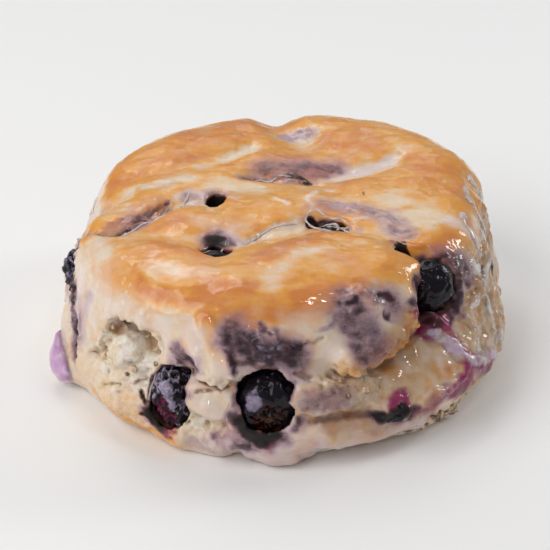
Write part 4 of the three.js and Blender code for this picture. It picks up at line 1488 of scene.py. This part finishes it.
class BISCUIT_OT_glaze(bpy.types.Operator):
    """Lays the thick glaze over dough and berries: its strands, runs, the trail of juice and the drip"""

    bl_idname = "biscuit.glaze"
    bl_label = "Glaze"

    # Thickness of the wall of a run or drip, most of it sunk in what it lies on.
    SHELL = 0.3 * MM
    DRIP = (
        (SIDE, ((202, 7.6), (204.6, 6), (207, 4.8)), 2.0, 0.9),
        (SIDE, ((203.4, 5.6), (206.4, 4.8)), 2.7, 1.0),
    )
    # Thin strands: name, face, thickness as a share, whether they hang over holes, and lines of places.
    STRANDS = (
        (
            "glaze_strands_slot",
            TOP,
            1.1,
            True,
            (
                SLOT_FRONT,
                ((12.4, -13.2), (12.4, -11.4), (10.8, -9.6), (9.0, -9.2), (7.2, -8.2), (5.6, -6.6)),
                ((6.4, -12.4), (6.7, -10.4), (8.0, -9.4), (9.8, -10.2), (10.2, -11.4), (9.6, -13.3)),
                ((8.0, -9.4), (8.2, -10.8), (9.9, -11.2), (12.3, -11.6)),
                ((10.2, -11.4), (11.4, -12.2), (12.4, -13)),
            ),
        ),
        (
            "glaze_strands_trail",
            TOP,
            0.9,
            False,
            (((-7.5, -17.5), (-6, -16.2), (-4.2, -13.9), (-1.2, -12), (2.4, -10.7), (4.2, -10.6)),),
        ),
        (
            "glaze_strands_crease",
            TOP,
            1.0,
            False,
            (
                ((-34.6, -14), (-31.4, -13.6), (-28.1, -12.6), (-26.3, -11.2), (-23.6, -9.6), (-21.1, -7.4)),
                ((-21.1, -7.4), (-19.7, -5.2), (-18.2, -3.9), (-15.6, -4.2)),
                ((-25.2, -8), (-23, -6.2), (-21.9, -4.0)),
                ((-21.3, -4.9), (-19.2, -3.5), (-18.3, -1.4), (-17.9, 0.4)),
            ),
        ),
        (
            "glaze_strands_back",
            TOP,
            1.0,
            False,
            (
                ((-6.6, 6.8), (-4.6, 8.2), (-2.4, 7.4), (-0.6, 8.4), (1.8, 7.6), (4.4, 7.2)),
                ((-1.4, 7.2), (0.4, 6.6), (2.6, 6.6)),
            ),
        ),
        (
            "glaze_strands_crack",
            TOP,
            0.9,
            False,
            (
                ((20, -15.2), (20.6, -16.6), (22.2, -17.3), (24.2, -18.1), (26.2, -18.2), (27.3, -19.4)),
                ((-14.6, -20.4), (-13, -19.9), (-11.6, -19.3), (-10.6, -18), (-10.4, -16.6)),
            ),
        ),
        (
            "glaze_strands_berries",
            SIDE,
            0.8,
            False,
            (
                ((247.6, 15.6), (249.2, 13.2), (248.4, 11), (249.4, 9)),
                ((239.2, 14.4), (238, 12), (238.6, 9.6)),
                ((258.4, 13.8), (257.4, 11.6), (257.8, 9)),
            ),
        ),
    )
    # Looks are cover, violet and magenta.
    STRAND_LOOKS = (0.78, 0.15, 0.0)
    DRIP_LOOKS = (1.0, 0.0, 0.75)
    # Thicker runs: name, slot, looks, how far they stand out in mm, and strokes.
    RUNS = (
        (
            "glaze_runs",
            "glaze",
            (0.8, 0.0, 0.0),
            0.35,
            (
                (SIDE, ((6.2, 29.6), (0.2, 29)), 0.7, 1.0),
                (SIDE, ((359.6, 28.8), (356.6, 26.4), (357.4, 22.8), (357, 20.6)), 0.8, 1.0),
                (SIDE, ((348, 29.6), (344, 28.8), (342.6, 26.4), (342, 24)), 1.0, 1.0),
                (SIDE, ((346.3, 24), (341, 19.6), (331, 18.4), (324.4, 18)), 0.8, 0.9),
                (SIDE, ((325.3, 16.8), (327, 13.8), (322.6, 12.4), (323.6, 10.4)), 0.8, 0.9),
                (SIDE, ((345, 14.6), (341, 11.6), (337, 9.6), (331, 9)), 1.0, 0.9),
                (SIDE, ((352, 25), (350, 22), (351, 19)), 1.0, 1.0),
                (SIDE, ((336, 24), (337.6, 21.6)), 1.3, 1.0),
                (SIDE, ((336, 17), (334, 14), (335, 12)), 0.8, 0.9),
                (SIDE, ((16, 28), (14, 22), (15.5, 16)), 1.1, 1.0),
                (SIDE, ((64, 27), (66, 21), (64.4, 17)), 1.2, 1.0),
                (SIDE, ((108, 27), (110, 23), (108.6, 20)), 0.9, 1.0),
                (SIDE, ((166, 24), (164, 19), (165, 16)), 0.9, 1.0),
            ),
        ),
        (
            "juice_trail",
            "juice",
            (0.8, 0.1, 0.42),
            0.4,
            (
                (SIDE, ((312.8, 17.6), (314, 16.2), (315.6, 14.4)), 1.3, 1.0),
                (SIDE, ((315.8, 15.6), (317.4, 13.4), (317.8, 12.2)), 0.9, 0.9),
                (SIDE, ((319, 12), (322, 10.8), (326, 9.9), (329, 9.4)), 1.0, 0.9),
                (SIDE, ((315, 10.4), (311.6, 9.8), (306, 9.6)), 0.6, 0.6),
            ),
        ),
    )

    def execute(self, context):
        host = build_host()
        material = glaze_material()
        points = warped(warped(read_points(host.data), 4, 0.8, 70), 1.6, 0.45, 74)
        surface = Surface(host.data)
        depth = settings().drip_depth / MM
        drip = self.skin(host, "glaze_drip", painted(points, surface, self.DRIP, 0.6), depth)
        self.dress(drip, material, get_mask(drip.data, "film"), self.DRIP_LOOKS)
        for number, (name, face, thick, hangs, lines) in enumerate(self.STRANDS):
            radius = thick * settings().strand / 2
            strand = strands(name, surface, face, lines, radius, hangs, number)
            self.dress(strand, material, np.ones(len(strand.data.vertices)), self.STRAND_LOOKS)
        broken = 0.75 + 0.7 * noise_field(points, 2.4, 75, 3)
        for name, slot, looks, depth, strokes in self.RUNS:
            run = self.skin(host, name, painted(points, surface, strokes, 0.8) * broken, depth)
            self.dress(run, material, get_mask(run.data, "film"), looks, slot)
        bpy.data.objects.remove(host, do_unlink=True)
        return {"FINISHED"}

    def dress(self, piece, material, film, looks, slot="glaze"):
        """Masks, material and frame data of one piece of glaze."""
        mesh = piece.data
        cover, violet, magenta = looks
        blots = noise_field(read_points(mesh), 1.6, 80, 3)
        drops = noise_field(read_points(mesh), 2.0, 84, 2)
        set_mask(mesh, "cover", cover * smoothstep(0.05, 0.75, film) * (1 + 0.25 * blots))
        set_mask(mesh, "violet", violet * (1 + 0.9 * blots))
        set_mask(mesh, "magenta", magenta * (1 + 0.9 * drops))
        mesh.materials.append(material)
        select_only(piece)
        bpy.ops.object.shade_smooth()
        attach(piece, "root")

    def skin(self, host, name, amount, depth):
        """A shell over the host where the amount is above nothing, thick in its middle, sunk at its edge."""
        piece = new_piece(name, host.data)
        mesh = piece.data
        set_mask(mesh, "film", amount)
        edit_chosen(piece, "VERT", (amount < NO_FILM).tolist())
        bpy.ops.mesh.delete(type="VERT")
        bpy.ops.object.mode_set(mode="OBJECT")
        points = read_points(mesh)
        normals = read_points(mesh, "normal")
        film = get_mask(mesh, "film")
        lift = depth * film**0.8 - 0.25 * (1 - smoothstep(0, 0.3, film))
        points += normals * (lift * MM)[:, None]
        points[:, 2] = np.maximum(points[:, 2], 0)
        write_points(mesh, points)
        finish_modifier(piece, "SOLIDIFY", thickness=self.SHELL, offset=-1)
        return piece


# Share of a strand's radius by which it sinks in, how thin and thick it gets, and how far one hangs.
SUNK = 0.35
THINNEST, THICKEST = 0.3, 1.5
SAG = 0.5 * MM


def strands(name, surface, face, lines, radius, hangs, seed):
    """Uneven threads of glaze, half sunk along lines of places. Hanging ones span the holes they cross."""
    random.seed(seed)
    bpy.ops.object.select_all(action="DESELECT")
    bpy.ops.curve.primitive_nurbs_path_add()
    piece = bpy.context.object
    piece.name = name
    curve = piece.data
    curve.splines.clear()
    curve.bevel_depth = radius
    curve.bevel_resolution = 2
    curve.resolution_u = 2
    curve.use_fill_caps = True
    for places in lines:
        path = surface.trail(face, places)
        along = np.linspace(0, 1, len(path))
        if hangs:
            span = path[0][2] * (1 - along) + path[-1][2] * along
            path[:, 2] = np.maximum(path[:, 2], span - SAG)
        out = path * (1, 1, 0) / HIGH.x if face == SIDE else np.array((0, 0, 1))
        path = path - out * SUNK * radius
        sizes = [random.uniform(THINNEST, THICKEST) for _ in range(2 + len(path) // 3)]
        thick = np.interp(along, np.linspace(0, 1, len(sizes)), sizes)
        thick *= np.interp(along, (0, 0.15, 0.85, 1), (0.3, 1, 1, 0.3))
        spline = curve.splines.new("NURBS")
        spline.points.add(len(path) - 1)
        for point, place, size in zip(spline.points, path, thick):
            point.co = (*place, 1)
            point.radius = size
        spline.order_u = 4
        spline.use_endpoint_u = True
    bpy.ops.object.convert(target="MESH")
    mesh = piece.data
    points = read_points(mesh)
    normals = read_points(mesh, "normal")
    uneven = noise_field(points, 0.9, 90 + seed, 2)
    write_points(mesh, points + normals * (0.4 * radius * uneven)[:, None])
    return piece


def glaze_material():
    """Milky glaze, tinted where juice ran into it, thin and clear at its edges."""
    palette = colours()
    material, tree, shader, place = start_material("sugar_glaze")
    cloud = noise_value(tree, place, 2.5, 4, 0.6)
    milky = mix(tree, ramped(tree, cloud, 0.35, 0.7), (0.66, 0.55, 0.50, 1), (0.84, 0.78, 0.78, 1))
    stain = place_group(
        tree,
        "berry_stain",
        {
            "Place": place,
            "Under": milky,
            "Stain": (0.14, 0.09, 0.13, 1),
            "Juice": opaque(palette.runny),
            "Violet": read_mask(tree, "violet"),
            "Magenta": read_mask(tree, "magenta"),
            "Dark": 0.0,
        },
    )
    tree.links.new(stain["Colour"], shader.inputs["Base Color"])
    patchy = ramped(tree, cloud, 0.2, 0.6, 0.75, 1.0)
    cover = calculate(tree, "MULTIPLY", read_mask(tree, "cover"), patchy)
    tree.links.new(cover, shader.inputs["Alpha"])
    shader.inputs["Roughness"].default_value = 0.3
    shader.inputs["Coat Weight"].default_value = 1.0
    shader.inputs["Coat Roughness"].default_value = 0.1
    shader.inputs["Subsurface Weight"].default_value = 0.3
    shader.inputs["Subsurface Radius"].default_value = (1.0, 0.7, 0.6)
    shader.inputs["Subsurface Scale"].default_value = 1.0 * MM
    add_bump(tree, shader, noise_value(tree, place, 1.2, 2, 0.5), 0.12, 0.6)
    return material


# ---------------------------------------------------------------- crumbs


class BISCUIT_OT_crumbs(bpy.types.Operator):
    """Scatters small crumbs that cling to the foot and to torn dough"""

    bl_idname = "biscuit.crumbs"
    bl_label = "Crumbs"

    SEED = 5
    # Smallest and largest radius in mm, and how much a crumb is squeezed or drawn out.
    RADII = (0.25, 0.8)
    STRETCH = (0.7, 1.4)
    # Places with crumbs: degrees, heights, and how many cling there.
    PLACES = (
        ((303, 317), (1.6, 5.5), 26),
        ((281, 290), (12, 15), 4),
        ((222, 240), (8, 18), 4),
        ((150, 190), (1.5, 6), 10),
        ((20, 80), (2, 8), 12),
    )

    def execute(self, context):
        random.seed(self.SEED)
        surface = Surface(bpy.data.objects["dough"].data)
        crumbs = []
        for degrees, heights, count in self.PLACES:
            for _ in range(count):
                where = (random.uniform(*degrees), random.uniform(*heights))
                crumbs.append(self.add_crumb(surface.place(SIDE, where)))
        piece = join_all(crumbs)
        piece.name = "crumbs"
        bpy.ops.object.transform_apply(location=True, rotation=True, scale=True)
        points = read_points(piece.data)
        normals = read_points(piece.data, "normal")
        points += normals * (0.25 * MM * noise_field(points, 0.5, 130, 3))[:, None]
        points[:, 2] = np.maximum(points[:, 2], 0)
        write_points(piece.data, points)
        piece.data.materials.append(crumb_material())
        bpy.ops.object.shade_smooth()
        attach(piece, "root")
        return {"FINISHED"}

    def add_crumb(self, place):
        size = random.uniform(*self.RADII) * MM
        turn = [random.uniform(0, math.tau) for _ in range(3)]
        stretch = [random.uniform(*self.STRETCH) for _ in range(3)]
        bpy.ops.mesh.primitive_ico_sphere_add(
            subdivisions=3, radius=size, location=place, rotation=turn, scale=stretch
        )
        return bpy.context.object


def crumb_material():
    """Loose crumb, from cream to brown."""
    palette = colours()
    material, tree, shader, place = start_material("loose_crumb")
    tone = noise_value(tree, place, 1.6, 3, 0.6)
    tan = mix(tree, 1.0, opaque(palette.crumb), (0.80, 0.62, 0.46, 1), "MULTIPLY")
    colour = mix(tree, ramped(tree, tone, 0.4, 0.62), (0.20, 0.11, 0.06, 1), tan)
    tree.links.new(colour, shader.inputs["Base Color"])
    shader.inputs["Roughness"].default_value = 0.6
    shader.inputs["Coat Weight"].default_value = 0.3
    return material


# ---------------------------------------------------------------- panel and start


class BISCUIT_PT_panel(bpy.types.Panel):
    """Lists the biscuit's operators, sizes and colours"""

    bl_idname = "BISCUIT_PT_panel"
    bl_label = "Glazed Biscuit"
    bl_space_type = "VIEW_3D"
    bl_region_type = "UI"
    bl_category = "Biscuit"

    def draw(self, context):
        for operator in OPERATORS:
            self.layout.operator(operator.bl_idname)
        for group in (context.scene.biscuit_sizes, context.scene.biscuit_colours):
            box = self.layout.box()
            for name in group.__annotations__:
                box.prop(group, name)


OPERATORS = (
    BISCUIT_OT_stage,
    BISCUIT_OT_groups,
    BISCUIT_OT_dough,
    BISCUIT_OT_berries,
    BISCUIT_OT_glaze,
    BISCUIT_OT_crumbs,
)
CLASSES = (BiscuitSizes, BiscuitColours, *OPERATORS, BISCUIT_PT_panel)


def register():
    for cls in CLASSES:
        bpy.utils.register_class(cls)
    bpy.types.Scene.biscuit_sizes = bpy.props.PointerProperty(type=BiscuitSizes)
    bpy.types.Scene.biscuit_colours = bpy.props.PointerProperty(type=BiscuitColours)


def unregister():
    del bpy.types.Scene.biscuit_colours
    del bpy.types.Scene.biscuit_sizes
    for cls in reversed(CLASSES):
        bpy.utils.unregister_class(cls)


def main():
    register()
    bpy.ops.biscuit.stage()
    bpy.ops.biscuit.groups()
    bpy.ops.biscuit.dough()
    bpy.ops.biscuit.berries()
    bpy.ops.biscuit.glaze()
    bpy.ops.biscuit.crumbs()


if __name__ == "__main__":
    main()
